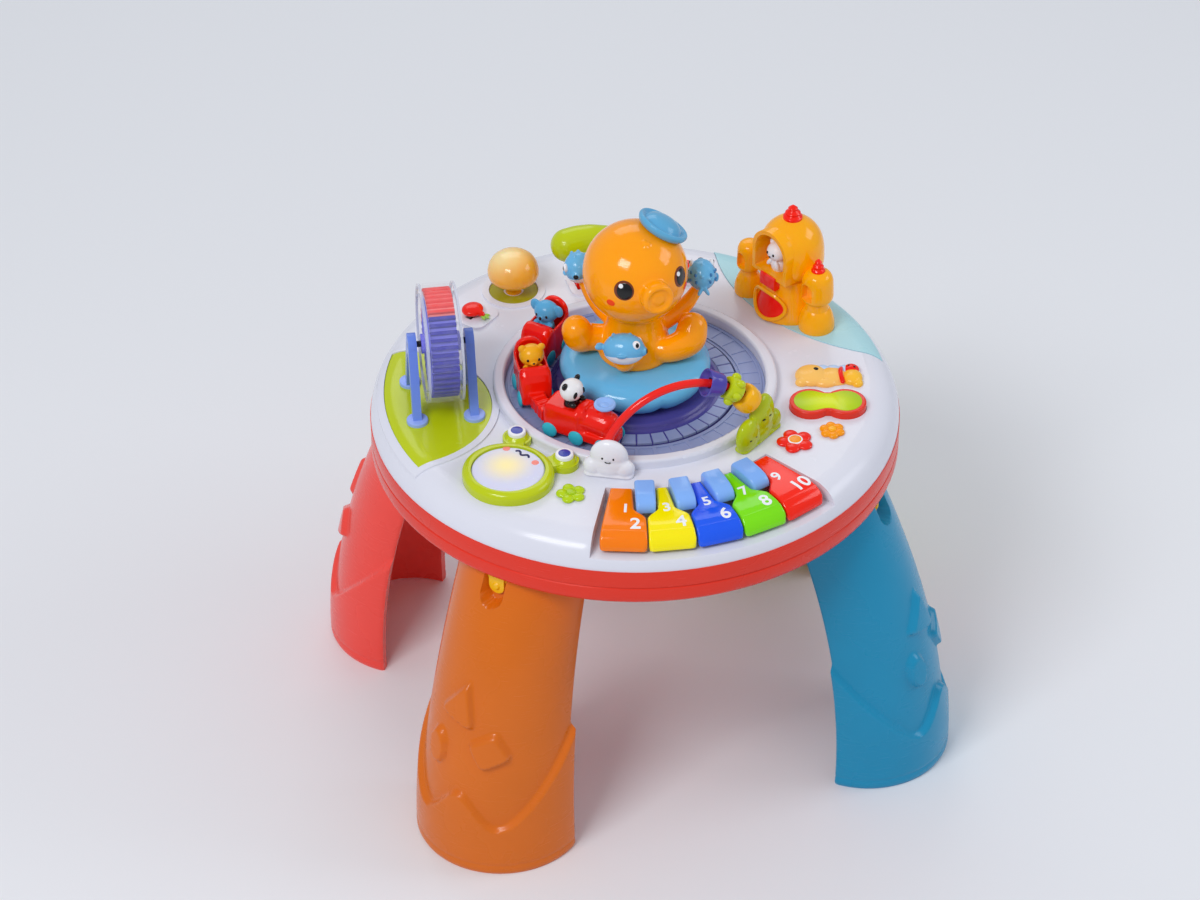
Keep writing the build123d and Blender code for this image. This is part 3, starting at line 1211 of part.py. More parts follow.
def castle_panel():
    """Pale-blue leaf-shaped panel let into the deck under the castle."""
    return panel(lens(*CASTLE_PANEL), -PANEL_SINK, PANEL_PROUD)


def tower():
    """Flared foot, banded neck and onion dome."""
    band_low, band_top = TOWER_H * 0.32, TOWER_H * 0.40
    return turned(
        Polyline((0, -SINK), (TOWER_R, -SINK), (TOWER_R, 2), (NECK_W + 2.5, band_low), (NECK_W + 2.5, band_top),
                 (NECK_W, band_top + 2)),
        Spline((NECK_W, band_top + 2), (DOME_R, TOWER_H * 0.62), (FINIAL_R, TOWER_H),
               tangents=[(1, 0.35), (-1, 0.5)]),
        Polyline((FINIAL_R, TOWER_H), (0, TOWER_H), (0, -SINK)))


def turret(height, radius):
    """Small tower: flared foot, waist and a bulb under a round top."""
    return turned(
        Polyline((0, -SINK), (radius, -SINK), (radius, 1), (radius * 0.66, height * 0.46)),
        Spline((radius * 0.66, height * 0.46), (radius, height * 0.68), (0, height),
               tangents=[(1, 0.3), (-1, 0)]),
        Line((0, height), (0, -SINK)))


def arched(width, low, height):
    """Outline of a round-headed window."""
    drop = height - width / 2
    return Pos(0, low + drop / 2) * Rectangle(width, drop) + Pos(0, low + drop) * Circle(width / 2)


def facing(outline, start, depth):
    """An outline drawn as (sideways, height), pushed outward from a place on local X."""
    return Pos(start, 0, 0) * extrude(Plane.YZ * outline, depth, dir=(1, 0, 0))


def castle_shell():
    """Tower, hooded window frame and both turrets before anything is cut out."""
    frame_out = arched(WINDOW_W + 2 * HOOD_WALL, WINDOW_LOW - HOOD_WALL, WINDOW_H + 2 * HOOD_WALL)
    hood = facing(frame_out, -DOME_R + 2, DOME_R - 4)
    body = tower() + hood
    for x, y, height, radius in (NEAR_TURRET, FAR_TURRET):
        body += Pos(x, y) * turret(height, radius)
    return body


def window_niche():
    """Arched niche in the dome, where the kitten stands."""
    return facing(arched(WINDOW_W, WINDOW_LOW, WINDOW_H), -DOME_R - 5, WINDOW_DEPTH + 5)


def door_outline(grow=0.0):
    return Pos(0, DOOR_H / 2 + 2) * Ellipse(DOOR_W / 2 + grow, DOOR_H / 2 + grow)


def castle_body():
    """Yellow castle with its niche, turret windows and the seat of the door."""
    body = castle_shell() - window_niche()
    body -= facing(door_outline(FIT_GAP), -TOWER_R - 2, TOWER_R + 2 - door_back())
    for x, y, height, radius in (NEAR_TURRET, FAR_TURRET):
        pane = arched(radius * 0.9, height * 0.55, height * 0.28)
        body -= Pos(x, y) * facing(pane, -radius - 2, radius * 0.55 + 2)
    return seated(castle_place() * body, PANEL_PROUD)


def door_back():
    """Distance of the door's inner face from the tower's axis."""
    return NECK_W + 1.0


def finial(size):
    """Swirled knob on top of a tower."""
    return turned_polygon((0, 0), (size, 0), (size, 2), (size * 0.72, 4), (size * 0.8, 5.6),
                          (size * 0.45, 8.2), (size * 0.5, 9.6), (0, 13))


def castle_trim():
    """Red door and swirled finials."""
    door = facing(door_outline(), -TOWER_R - 2, TOWER_R + 2 - door_back() - FIT_GAP) & tower()
    x, y, height, radius = NEAR_TURRET
    pieces = [door, Pos(0, 0, TOWER_H) * finial(FINIAL_R), Pos(x, y, height - 1.5) * finial(FINIAL_R * 0.72)]
    return [castle_place() * piece - castle_body() for piece in pieces]


def castle_kitten():
    """White kitten in the niche: body, head and two ears."""
    body = Pos(0, 0, WINDOW_LOW) * Cone(8, 6.5, 14, align=(Align.CENTER, Align.CENTER, Align.MIN))
    head = Pos(0, 0, WINDOW_LOW + 18) * Sphere(8.5)
    ears = [Pos(0, s * 5.5, WINDOW_LOW + 23.5) * Cone(3.4, 0.6, 6, align=(
        Align.CENTER, Align.CENTER, Align.MIN)) for s in (-1, 1)]
    return castle_place() * Pos(-DOME_R + 11, 0, 0) * (body + head + ears)


# ---- Write every piece ------------------------------------------------------
def save(name, shape):
    """Write one node; a list of shapes becomes one node of separate solids."""
    pieces = shape if isinstance(shape, (list, tuple)) else [shape]
    solids = [solid for piece in pieces for solid in piece.solids()]
    node = solids[0] if len(solids) == 1 else Compound(children=solids)
    node.label = name
    PARTS[name] = node
    export_step(node, os.path.join("parts", name + ".step"))


os.makedirs("parts", exist_ok=True)
save("lower_shell", lower_shell())
save("top_shell", top_shell())
LEG_NAMES = ("front_left", "front_right", "rear_left", "rear_right")
one_leg, one_latch = leg(), latch()
for place_name, leg_azimuth in zip(LEG_NAMES, leg_azimuths()):
    save("leg_" + place_name, Rot(0, 0, leg_azimuth) * one_leg)
    save("latch_" + place_name, Rot(0, 0, leg_azimuth) * one_latch)
for build in (battery_door, screws, speaker, circuit_board, drive_motor, motor_pinion,
              track_ring, turntable, table_gear, cushion, octopus_body, octopus_head, octopus_cap, pufferfish,
              locomotive, wagons, train_wheels, train_animals,
              ferris_drum, ferris_insert, ferris_axle, ferris_frames, ferris_panel,
              cloud_post, hill_post, loop_tube, bead_purple, bead_lime, bead_yellow, short_keys,
              mushroom_dome, rear_button, lever_stem, lever_grip, switch_knob,
              song_plate, song_animal, flower_red, small_flowers, frog_rim, frog_drum,
              castle_panel, castle_body, castle_trim, castle_kitten):
    save(build.__name__, build())
for number in range(KEYS):
    save("key_%d" % (number + 1), key(number))
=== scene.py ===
import bmesh
import bpy
from math import atan2, cos, exp, hypot, log, pi, radians, sin
from mathutils import Matrix, Vector


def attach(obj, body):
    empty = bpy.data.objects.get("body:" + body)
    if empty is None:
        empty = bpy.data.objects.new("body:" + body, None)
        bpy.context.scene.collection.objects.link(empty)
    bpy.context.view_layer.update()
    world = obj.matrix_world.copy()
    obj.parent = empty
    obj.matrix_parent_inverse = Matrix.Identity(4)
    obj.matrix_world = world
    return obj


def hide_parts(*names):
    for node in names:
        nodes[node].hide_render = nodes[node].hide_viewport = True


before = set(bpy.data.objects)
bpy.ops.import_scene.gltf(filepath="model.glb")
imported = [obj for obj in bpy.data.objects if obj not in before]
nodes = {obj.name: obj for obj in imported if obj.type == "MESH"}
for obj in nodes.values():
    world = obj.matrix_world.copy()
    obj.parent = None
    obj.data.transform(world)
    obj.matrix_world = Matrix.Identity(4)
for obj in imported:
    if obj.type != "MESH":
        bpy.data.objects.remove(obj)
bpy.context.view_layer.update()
mm = 0.001


# ---- Camera, lights and floor ------------------------------------------------
# A long lens looks down on the front of the table from a little to its left.
# Three large soft boxes and a pale surround light it evenly; the floor is plain.
camera = bpy.data.objects.new("camera", bpy.data.cameras.new("camera"))
camera.data.sensor_width = 36.0
camera.data.lens = 120.0
camera.data.clip_end = 50.0
camera_at = (-0.8506, -2.4703, 2.2248)
yaw, pitch, roll = -0.3207126, 0.9220963, -0.0039
camera.matrix_world = (Matrix.Translation(camera_at) @ Matrix.Rotation(yaw, 4, "Z")
                       @ Matrix.Rotation(pitch, 4, "X") @ Matrix.Rotation(roll, 4, "Z"))
bpy.context.scene.collection.objects.link(camera)
bpy.context.scene.camera = camera
bpy.context.scene.view_settings.view_transform = "Standard"


def softbox(name, place, width, power, tint=(1.0, 1.0, 1.0)):
    """A wide soft lamp that points at the middle of the table."""
    lamp = bpy.data.objects.new(name, bpy.data.lights.new(name, "AREA"))
    lamp.data.shape = "RECTANGLE"
    lamp.data.size, lamp.data.size_y = width, width * 0.7
    lamp.data.energy = power
    lamp.data.color = tint
    lamp.location = place
    table_middle = Vector((0.0, 0.0, 0.3))
    lamp.rotation_euler = (table_middle - Vector(place)).to_track_quat("-Z", "Y").to_euler()
    bpy.context.scene.collection.objects.link(lamp)


softbox("key_light", (-1.5, -1.1, 2.3), 1.1, 33.0)
softbox("side_light", (1.9, -0.5, 1.5), 1.2, 10.0, (0.96, 0.98, 1.0))
softbox("back_light", (0.3, 2.0, 2.0), 1.6, 9.0)

world = bpy.data.worlds.new("surround")
bpy.context.scene.world = world
world.use_nodes = True
sky = world.node_tree.nodes["Background"]
sky.inputs["Color"].default_value = (0.93, 0.95, 1.0, 1.0)
sky.inputs["Strength"].default_value = 0.5

floor_mesh = bpy.data.meshes.new("floor")
floor_half = 9.0
floor_mesh.from_pydata([(-floor_half, -floor_half, 0), (floor_half, -floor_half, 0),
                        (floor_half, floor_half, 0), (-floor_half, floor_half, 0)], [], [(0, 1, 2, 3)])
floor = bpy.data.objects.new("floor", floor_mesh)
floor_finish = bpy.data.materials.new("floor_paint")
floor_finish.use_nodes = True
floor_bsdf = floor_finish.node_tree.nodes["Principled BSDF"]
floor_bsdf.inputs["Base Color"].default_value = (0.82, 0.84, 0.88, 1.0)
floor_bsdf.inputs["Roughness"].default_value = 0.8
floor_mesh.materials.append(floor_finish)
bpy.context.scene.collection.objects.link(floor)


# ---- Lower half of the case ---------------------------------------------------
# Red ABS tray with the rim band, injection moulded. It carries the legs, the
# battery box, the speaker grille and the posts that the deck is screwed to.
def moulded_surface():
    """Node group: tone drift, scuffed edges and fine orange peel of a moulded plastic."""
    group = bpy.data.node_groups.new("moulded_surface", "ShaderNodeTree")
    face = group.interface
    face.new_socket("Colour", in_out="INPUT", socket_type="NodeSocketColor")
    for name, value in (("Roughness", 0.3), ("Drift", 0.06), ("Peel", 0.12), ("Wear", 0.25)):
        face.new_socket(name, in_out="INPUT", socket_type="NodeSocketFloat").default_value = value
    face.new_socket("Colour", in_out="OUTPUT", socket_type="NodeSocketColor")
    face.new_socket("Roughness", in_out="OUTPUT", socket_type="NodeSocketFloat")
    face.new_socket("Normal", in_out="OUTPUT", socket_type="NodeSocketVector")
    tree, link = group.nodes, group.links.new
    given, out = tree.new("NodeGroupInput"), tree.new("NodeGroupOutput")
    place = tree.new("ShaderNodeTexCoord")

    def noise(scale, detail, stretch=None):
        node = tree.new("ShaderNodeTexNoise")
        node.inputs["Scale"].default_value = scale
        node.inputs["Detail"].default_value = detail
        source = place.outputs["Object"]
        if stretch:
            mapping = tree.new("ShaderNodeMapping")
            mapping.inputs["Scale"].default_value = stretch
            mapping.inputs["Rotation"].default_value = (0.3, 0.9, 0.5)
            link(source, mapping.inputs["Vector"])
            source = mapping.outputs["Vector"]
        link(source, node.inputs["Vector"])
        return node.outputs["Fac"]

    def spread(value, low, high, to_low, to_high):
        node = tree.new("ShaderNodeMapRange")
        node.inputs["From Min"].default_value, node.inputs["From Max"].default_value = low, high
        node.inputs["To Min"].default_value, node.inputs["To Max"].default_value = to_low, to_high
        link(value, node.inputs["Value"])
        return node.outputs["Result"]

    def maths(kind, first, second):
        node = tree.new("ShaderNodeMath")
        node.operation = kind
        for socket, value in zip(node.inputs, (first, second)):
            if isinstance(value, float):
                socket.default_value = value
            else:
                link(value, socket)
        return node.outputs[0]

    tone = spread(noise(14.0, 4.0), 0.3, 0.7, -1.0, 1.0)
    factor = maths("ADD", maths("MULTIPLY", tone, given.outputs["Drift"]), 1.0)
    scale = tree.new("ShaderNodeVectorMath")
    scale.operation = "SCALE"
    link(given.outputs["Colour"], scale.inputs[0])
    link(factor, scale.inputs["Scale"])
    edge = spread(tree.new("ShaderNodeNewGeometry").outputs["Pointiness"], 0.53, 0.6, 0.0, 1.0)
    rubbed = maths("MULTIPLY", edge, spread(noise(120.0, 5.0), 0.45, 0.6, 0.0, 1.0))
    wear = maths("MULTIPLY", rubbed, given.outputs["Wear"])
    pale = tree.new("ShaderNodeMix")
    pale.data_type = "RGBA"
    pale.inputs["B"].default_value = (0.9, 0.88, 0.85, 1.0)
    link(wear, pale.inputs["Factor"])
    link(scale.outputs[0], pale.inputs["A"])
    link(pale.outputs["Result"], out.inputs["Colour"])
    hairlines = spread(noise(70.0, 6.0, (1.0, 1.0, 16.0)), 0.6, 0.75, 0.0, 0.10)
    smear = spread(noise(22.0, 3.0), 0.35, 0.7, -0.04, 0.05)
    rough = maths("ADD", maths("ADD", given.outputs["Roughness"], hairlines), smear)
    link(maths("ADD", rough, maths("MULTIPLY", wear, 0.5)), out.inputs["Roughness"])
    peel = tree.new("ShaderNodeBump")
    peel.inputs["Distance"].default_value = 0.0002
    link(given.outputs["Peel"], peel.inputs["Strength"])
    link(noise(650.0, 2.0), peel.inputs["Height"])
    link(peel.outputs["Normal"], out.inputs["Normal"])
    return group


SURFACE = moulded_surface()


def linear(red, green, blue):
    """Colour as seen on a screen, to the values that the shader takes."""
    return [((c + 0.055) / 1.055) ** 2.4 if c > 0.04045 else c / 12.92 for c in (red, green, blue)] + [1.0]


def finish(name, colour, roughness=0.25, coat=0.15, drift=0.03, peel=0.12, wear=0.05, metal=0.0, alpha=1.0,
           glow=0.0, through=0.0):
    """A material on the moulded surface: its colour and gloss, and how far it lets light in."""
    material = bpy.data.materials.new(name)
    material.use_nodes = True
    tree = material.node_tree
    bsdf = tree.nodes["Principled BSDF"]
    surface = tree.nodes.new("ShaderNodeGroup")
    surface.node_tree = SURFACE
    surface.inputs["Colour"].default_value = linear(*colour)
    for socket, value in (("Roughness", roughness), ("Drift", drift), ("Peel", peel), ("Wear", wear)):
        surface.inputs[socket].default_value = value
    for name_out, name_in in (("Colour", "Base Color"), ("Roughness", "Roughness"), ("Normal", "Normal")):
        tree.links.new(surface.outputs[name_out], bsdf.inputs[name_in])
    bsdf.inputs["Metallic"].default_value = metal
    bsdf.inputs["Specular IOR Level"].default_value = 0.28
    bsdf.inputs["Coat Weight"].default_value = coat * 0.4
    bsdf.inputs["Coat Roughness"].default_value = 0.08
    bsdf.inputs["Alpha"].default_value = alpha
    bsdf.inputs["Subsurface Weight"].default_value = through
    bsdf.inputs["Subsurface Radius"].default_value = (1.0, 0.5, 0.25)
    bsdf.inputs["Subsurface Scale"].default_value = 0.004
    # Emission adds light to the colour: on parts that are no lamp it is painted light.
    if glow:
        tree.links.new(surface.outputs["Colour"], bsdf.inputs["Emission Color"])
        bsdf.inputs["Emission Strength"].default_value = glow
    return material


def dress(material, *names, edge=0.0):
    """The material on bare pieces, with their moulded edges rounded by that many millimetres."""
    for name in names:
        piece = nodes[name]
        piece.data.materials.clear()
        piece.data.materials.append(material)
        if edge:
            weld = piece.modifiers.new("weld", "WELD")
            weld.merge_threshold = 0.002 * mm
            flat = piece.modifiers.new("flat", "DECIMATE")
            flat.decimate_type = "DISSOLVE"
            flat.angle_limit = radians(0.6)
            bevel = piece.modifiers.new("edge", "BEVEL")
            bevel.width = edge * mm
            bevel.segments = 3
            bevel.limit_method = "ANGLE"
            bevel.angle_limit = radians(38.0)
            bevel.use_clamp_overlap = True
            bevel.harden_normals = False


case_red = finish("case_red", (0.90, 0.20, 0.12), roughness=0.24)
dress(case_red, "lower_shell", edge=0.5)


# ---- Legs ---------------------------------------------------------------------
# Four injection-moulded ABS shells, open to the inside, one colour each, with a
# soft raised sock and shapes. A yellow button in the arched recess locks each one.
def strips(count, pairs):
    """Faces between pairs of neighbouring rings of that many points."""
    return [(low * count + n, low * count + (n + 1) % count, high * count + (n + 1) % count, high * count + n)
            for low, high in pairs for n in range(count)]


def skin(rings):
    """A closed shape (points, faces) through rings of points of equal length."""
    count, last = len(rings[0]), len(rings) - 1
    faces = strips(count, [(k, k + 1) for k in range(last)])
    faces += [tuple(reversed(range(count))), tuple(range(last * count, (last + 1) * count))]
    return [Vector(point) for row in rings for point in row], faces


def moved(shape, place):
    """The shape carried to a place, given as a 4x4 in millimetres."""
    return [place @ point for point in shape[0]], shape[1]


def spot(radius, azimuth, height=0.0, turn=0.0):
    """A place on the table: local X points away from the table's axis."""
    a = radians(azimuth)
    return (Matrix.Translation((radius * cos(a), radius * sin(a), height))
            @ Matrix.Rotation(a + radians(turn), 4, "Z"))


def solid(name, shapes, body, material, stands_for=(), at=None, sharp=32.0):
    """Shapes as one piece at a place, shaded smooth up to an angle, on its body."""
    mesh = bpy.data.meshes.new(name)
    points, faces = [], []
    for shape in shapes:
        shape_points, shape_faces = moved(shape, at) if at else shape
        faces += [tuple(n + len(points) for n in face) for face in shape_faces]
        points += shape_points
    mesh.from_pydata([point * mm for point in points], [], faces)
    mesh.polygons.foreach_set("use_smooth", [True] * len(mesh.polygons))
    mesh.set_sharp_from_angle(angle=radians(sharp))
    mesh.materials.append(material)
    piece = bpy.data.objects.new(name, mesh)
    bpy.context.scene.collection.objects.link(piece)
    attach(piece, body)
    if stands_for:
        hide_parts(*stands_for)
    return piece


def ease(value):
    """0 to 1 with soft ends."""
    value = min(max(value, 0.0), 1.0)
    return value * value * (3 - 2 * value)


def cubic(levels, values, at):
    """The cubic through four values."""
    total = 0.0
    for k, level in enumerate(levels):
        share = values[k]
        for n, other in enumerate(levels):
            if n != k:
                share *= (at - other) / (level - other)
        total += share
    return total


leg_top, recess_middle = 256.0, 240
# distance of the shell's middle from the table's axis, and its radius, at four heights
leg_levels = (0.0, 79.4, 158.7, leg_top)
leg_middles = (207.0, 203.5, 188.0, 154.0)
leg_radii = (65.0, 62.5, 58.5, 54.0)
leg_wall, leg_half_turn = 3.2, 93.0
# raised shapes, as millimetres across the leg and height
pennant = [(-2.0, 172.0), (-27.0, 139.0), (8.0, 131.0)]
square_half, square_lean = 13, 0.55
square = [(21 + square_half * (x * cos(square_lean) - y * sin(square_lean)),
           116 + square_half * (x * sin(square_lean) + y * cos(square_lean)))
          for x, y in ((-1, -1), (1, -1), (1, 1), (-1, 1))]
oval_across, oval_height, oval_half_width, oval_half_height = -25, 105, 9.0, 16.0
sock_hump, sock_valley, valley_turn = 74, 46, 30


def inside(corners, y, z, softness=0.55):
    """Distance to the sides of a convex outline, positive inside it, with soft corners."""
    total = 0.0
    for (ya, za), (yb, zb) in zip(corners, corners[1:] + corners[:1]):
        distance = ((yb - ya) * (z - za) - (zb - za) * (y - ya)) / hypot(yb - ya, zb - za)
        total += exp(-softness * distance)
    return -log(total) / softness


def sock_edge(turn):
    """Height of the wavy top of the sock, that many degrees round the leg."""
    turn = abs(turn)
    if turn < valley_turn:
        return sock_hump - (sock_hump - sock_valley) * ease(turn / valley_turn)
    return sock_valley + 1.4 * (hypot(turn - valley_turn, 12) - 12)


def leg_relief(turn, y, z):
    """How far the sock and the shapes stand out, on the outside of the leg."""
    slope = (sock_edge(turn + 1) - sock_edge(turn - 1)) / 2.2
    depth = (sock_edge(turn) - z) / hypot(1.0, slope)
    reach = hypot((y - oval_across) / oval_half_width, (z - oval_height) / oval_half_height)
    depth = max(depth, (1.0 - reach) * 10, inside(pennant, y, z), inside(square, y, z))
    return 5.0 * ease((depth + 0.8) / 3.4)


def leg_recess(y, z, grow=0.0):
    """How deep the arched recess of the latch goes."""
    depth = 10.0 + grow - (abs(y) if z > recess_middle else hypot(y, z - recess_middle))
    return 12.0 * ease((depth + 0.5) / 1.4)


def leg_turns(step, fine=15):
    """Angles round the section, one degree apart at the recess and wider beside it."""
    count = int((leg_half_turn - fine) / step)
    wide = [-leg_half_turn + (leg_half_turn - fine) * k / count for k in range(count)]
    return wide + list(range(-fine, fine + 1)) + [-t for t in reversed(wide)]


leg_rings = []
leg_heights = [1.4 * k for k in range(161)] + [225 + k for k in range(32)]      # closer at the recess
for z in leg_heights:
    middle, radius = cubic(leg_levels, leg_middles, z), cubic(leg_levels, leg_radii, z)
    # the bottom edge is rounded, with a fine groove above it
    foot = 1.2 * (1 - ease(z / 3.0)) + max(0.0, 1 - abs(z - 9.0) / 1.2)
    outer, inner = [], []
    for t in leg_turns(1.4):
        a = radians(t)
        y = radius * sin(a)
        lip = 1 - ease((leg_half_turn - abs(t)) / 2.0)
        reach = radius + leg_relief(t, y, z) - leg_recess(y, z) * (abs(t) < 20) - foot - lip
        outer.append((middle + reach * cos(a), reach * sin(a), z))
    for t in reversed(leg_turns(4.0)):
        a = radians(t)
        reach = radius - leg_wall - leg_recess(radius * sin(a), z, leg_wall) * (abs(t) < 22)
        inner.append((middle + reach * cos(a), reach * sin(a), z))
    leg_rings.append(outer + inner)
plate_edge = [(154 + 50 * cos(radians(t)), 50 * sin(radians(t))) for t in range(-90, 91, 6)]
tenon_edge = ((168, -30), (192, -30), (192, 30), (168, 30))
leg_shapes = [skin(leg_rings), skin([[(x, y, z) for x, y in plate_edge] for z in (leg_top - 5, leg_top)]),
              skin([[(x, y, z) for x, y in tenon_edge] for z in (leg_top - 2, leg_top + 20)])]
legs = {"front_left": ("leg_orange", 219.5, (0.86, 0.43, 0.07)),
        "front_right": ("leg_blue", 320.5, (0.08, 0.56, 0.73)),
        "rear_left": ("leg_red", 140.5, (0.96, 0.30, 0.26)),
        "rear_right": ("leg_lime", 39.5, (0.72, 0.80, 0.10))}
for side, (slot, azimuth, colour) in legs.items():
    solid("leg_shell_" + side, leg_shapes, "table", finish(slot, colour, roughness=0.27, coat=0.3),
          ["leg_" + side], at=spot(0, azimuth), sharp=40.0)
latch_yellow = finish("latch_yellow", (0.97, 0.76, 0.08), roughness=0.3)
dress(latch_yellow, *["latch_" + side for side in legs], edge=0.4)


# ---- Base fittings ---------------------------------------------------------------
# Battery door and its box, steel screws, the speaker behind its grille, the
# green circuit board and the small can motor that turns the middle.
dress(case_red, "battery_door", edge=0.4)
dress(finish("screw_steel", (0.70, 0.70, 0.72), roughness=0.32, coat=0.0, metal=1.0, peel=0.05), "screws")
dress(finish("speaker_black", (0.05, 0.05, 0.06), roughness=0.6, coat=0.0), "speaker")
dress(finish("board_green", (0.08, 0.32, 0.16), roughness=0.45, coat=0.1), "circuit_board")
dress(finish("motor_steel", (0.62, 0.63, 0.66), roughness=0.35, coat=0.0, metal=1.0), "drive_motor")
dress(finish("gear_white", (0.90, 0.90, 0.86), roughness=0.4, coat=0.0), "table_gear", "motor_pinion")


# ---- Play deck -------------------------------------------------------------------
# The white upper half of the case in glossy ABS, with the lip round the railway
# and the open tray for the piano. Two coloured panels are let into it.
deck_z = 312
deck_white = finish("deck_white", (0.88, 0.885, 0.93), roughness=0.22, drift=0.015, wear=0.0)
dress(deck_white, "top_shell", edge=0.6)
lime = finish("lime", (0.76, 0.82, 0.05), roughness=0.2, coat=0.5)
dress(lime, "ferris_panel", edge=0.3)
dress(finish("panel_pale_blue", (0.68, 0.86, 0.90), roughness=0.3), "castle_panel", edge=0.3)


# ---- Track and turntable ------------------------------------------------------------
# Grey-blue track ring pressed in the well, and the indigo disc that the motor
# turns, with its two steps. Both are ABS. A ring of grey-blue plates, snapped on the
# disc, carries the track on inwards.
track_blue = finish("track_blue", (0.56, 0.61, 0.78), roughness=0.35)
dress(track_blue, "track_ring", edge=0.2)
dress(finish("disc_indigo", (0.30, 0.28, 0.58), roughness=0.25), "turntable", edge=0.5)
disc_top = 312.3
track_plates, plate_inner, plate_outer, plate_gap = 40, 70.0, 82.0, 1.3


def track_plate(number, trim, height):
    """Outline of one plate between two radial gaps, trimmed all round."""
    outline = []
    for radius, way in ((plate_inner + trim, 1), (plate_outer - trim, -1)):
        half = pi / track_plates - (plate_gap / 2 + trim) / radius
        for k in (-1, -0.5, 0, 0.5, 1):
            a = 2 * pi * (number + 0.5) / track_plates - way * k * half
            outline.append((radius * cos(a), radius * sin(a), height))
    return outline


plate_steps = ((0.0, disc_top - 1.6), (0.0, disc_top + 0.2), (0.4, disc_top + 0.55))
plates = [skin([track_plate(n, trim, z) for trim, z in plate_steps]) for n in range(track_plates)]
solid("track_plates", plates, "carousel", track_blue)


# ---- Cushion ----------------------------------------------------------------------
# Fat light-blue pad on the disc, blow moulded in glossy plastic, with soft lobes
# round its foot.
def ring(radius, height, sides=64, wave=None):
    """A level ring about Z; wave gives what each angle takes off the radius."""
    angles = [2 * pi * n / sides for n in range(sides)]
    reach = [radius - (wave(angle) if wave else 0.0) for angle in angles]
    return [(r * cos(a), r * sin(a), height) for r, a in zip(reach, angles)]


def turned(side, sides=64):
    """A shape turned about Z through (radius, height) pairs."""
    return skin([ring(radius, height, sides) for radius, height in side])


facing = -87.0      # azimuth of the octopus's face, above a valley between two lobes


def lobes(height, count=8, depth=5.5):
    """Soft valleys between the lobes, gone at the pad's top."""
    depth *= max(0.0, 1.0 - height / 20.0) ** 1.3
    return lambda angle: depth * (1.0 - abs(sin(count / 2 * (angle - radians(facing))))) ** 2.5


cushion_foot = 317.3
cushion_side = ((47, 0.2), (51, 1.6), (55, 4.4), (58.4, 8.2), (60.4, 12.4), (60.9, 16.0), (59.9, 19.4),
                (57.2, 22.4), (52.8, 24.8), (46, 26.3), (34, 27), (2, 27))
cushion_blue = finish("cushion_blue", (0.40, 0.72, 0.90), roughness=0.16, coat=0.6)
solid("cushion_pad", [skin([ring(r, cushion_foot + h, 160, lobes(h)) for r, h in cushion_side])],
      "carousel", cushion_blue, ["cushion"])


# ---- Octopus ------------------------------------------------------------------------
# Hollow body and head in glossy orange, fixed to the pad: four fat arms lie on it,
# two are raised to hold fish. The eyes and cheeks are pad printed.
def ball(centre, radii, turn=None, sides=28):
    """A ball or egg about a point, as a shape."""
    radii = radii if isinstance(radii, tuple) else (radii,) * 3
    place = Matrix.Translation(centre) @ (turn or Matrix()) @ Matrix.Diagonal((*radii, 1.0))
    rows = sides // 2
    angles = [pi * (0.02 + 0.96 * k / rows) - pi / 2 for k in range(rows + 1)]
    return moved(turned([(cos(a), sin(a)) for a in angles], sides), place)


def limb(points, sides=24, steps=6):
    """A round limb through (x, y, z, radius) points, on a smooth curve, with round ends."""
    knots = [Vector(point) for point in points]
    knots = [knots[0] * 2 - knots[1]] + knots + [knots[-1] * 2 - knots[-2]]
    path = []
    for before, a, b, after in zip(knots, knots[1:], knots[2:], knots[3:]):
        for n in range(steps):
            t = n / steps
            path.append(0.5 * ((2 * a) + (b - before) * t + (2 * before - 5 * a + 4 * b - after) * t ** 2
                               + (3 * a - before - 3 * b + after) * t ** 3))
    path.append(knots[-2])
    rings, across = [], Vector((0.12, 0.31, 0.94))
    for k, knot in enumerate(path):
        along = (path[min(k + 1, len(path) - 1)] - path[max(k - 1, 0)]).to_3d().normalized()
        across = (across - along * across.dot(along)).normalized()
        other = along.cross(across)
        middle, radius = knot.to_3d(), knot.w
        rings.append([middle + (across * cos(2 * pi * n / sides) + other * sin(2 * pi * n / sides)) * radius
                      for n in range(sides)])
    tips = [ball(knot.to_3d(), knot.w, sides=sides) for knot in (path[0], path[-1])]
    return [skin(rings)] + tips


def fused(name, shapes, grain, passes, body, material, stands_for=(), at=None):
    """Shapes run together as in one mould: a closed skin of that grain, then softened."""
    piece = solid(name, shapes, body, material, stands_for, at)
    merge = piece.modifiers.new("merge", "REMESH")
    merge.mode, merge.voxel_size, merge.use_smooth_shade = "VOXEL", grain * mm, True
    soften = piece.modifiers.new("soften", "SMOOTH")
    soften.factor, soften.iterations = 0.5, passes
    bpy.context.view_layer.update()
    made = bpy.data.meshes.new_from_object(piece.evaluated_get(bpy.context.evaluated_depsgraph_get()))
    piece.modifiers.clear()
    made.name = name
    piece.data = made
    return piece


def heading(azimuth, climb=0.0):
    """Unit vector at an azimuth and a height above level, in degrees."""
    a, c = radians(azimuth), radians(climb)
    return Vector((cos(a) * cos(c), sin(a) * cos(c), sin(c)))


def arm(*stations):
    """An arm through (radius, azimuth, height, thickness) stations round the octopus."""
    return limb([(*(heading(azimuth) * radius + Vector((0, 0, height))), thickness)
                 for radius, azimuth, height, thickness in stations])
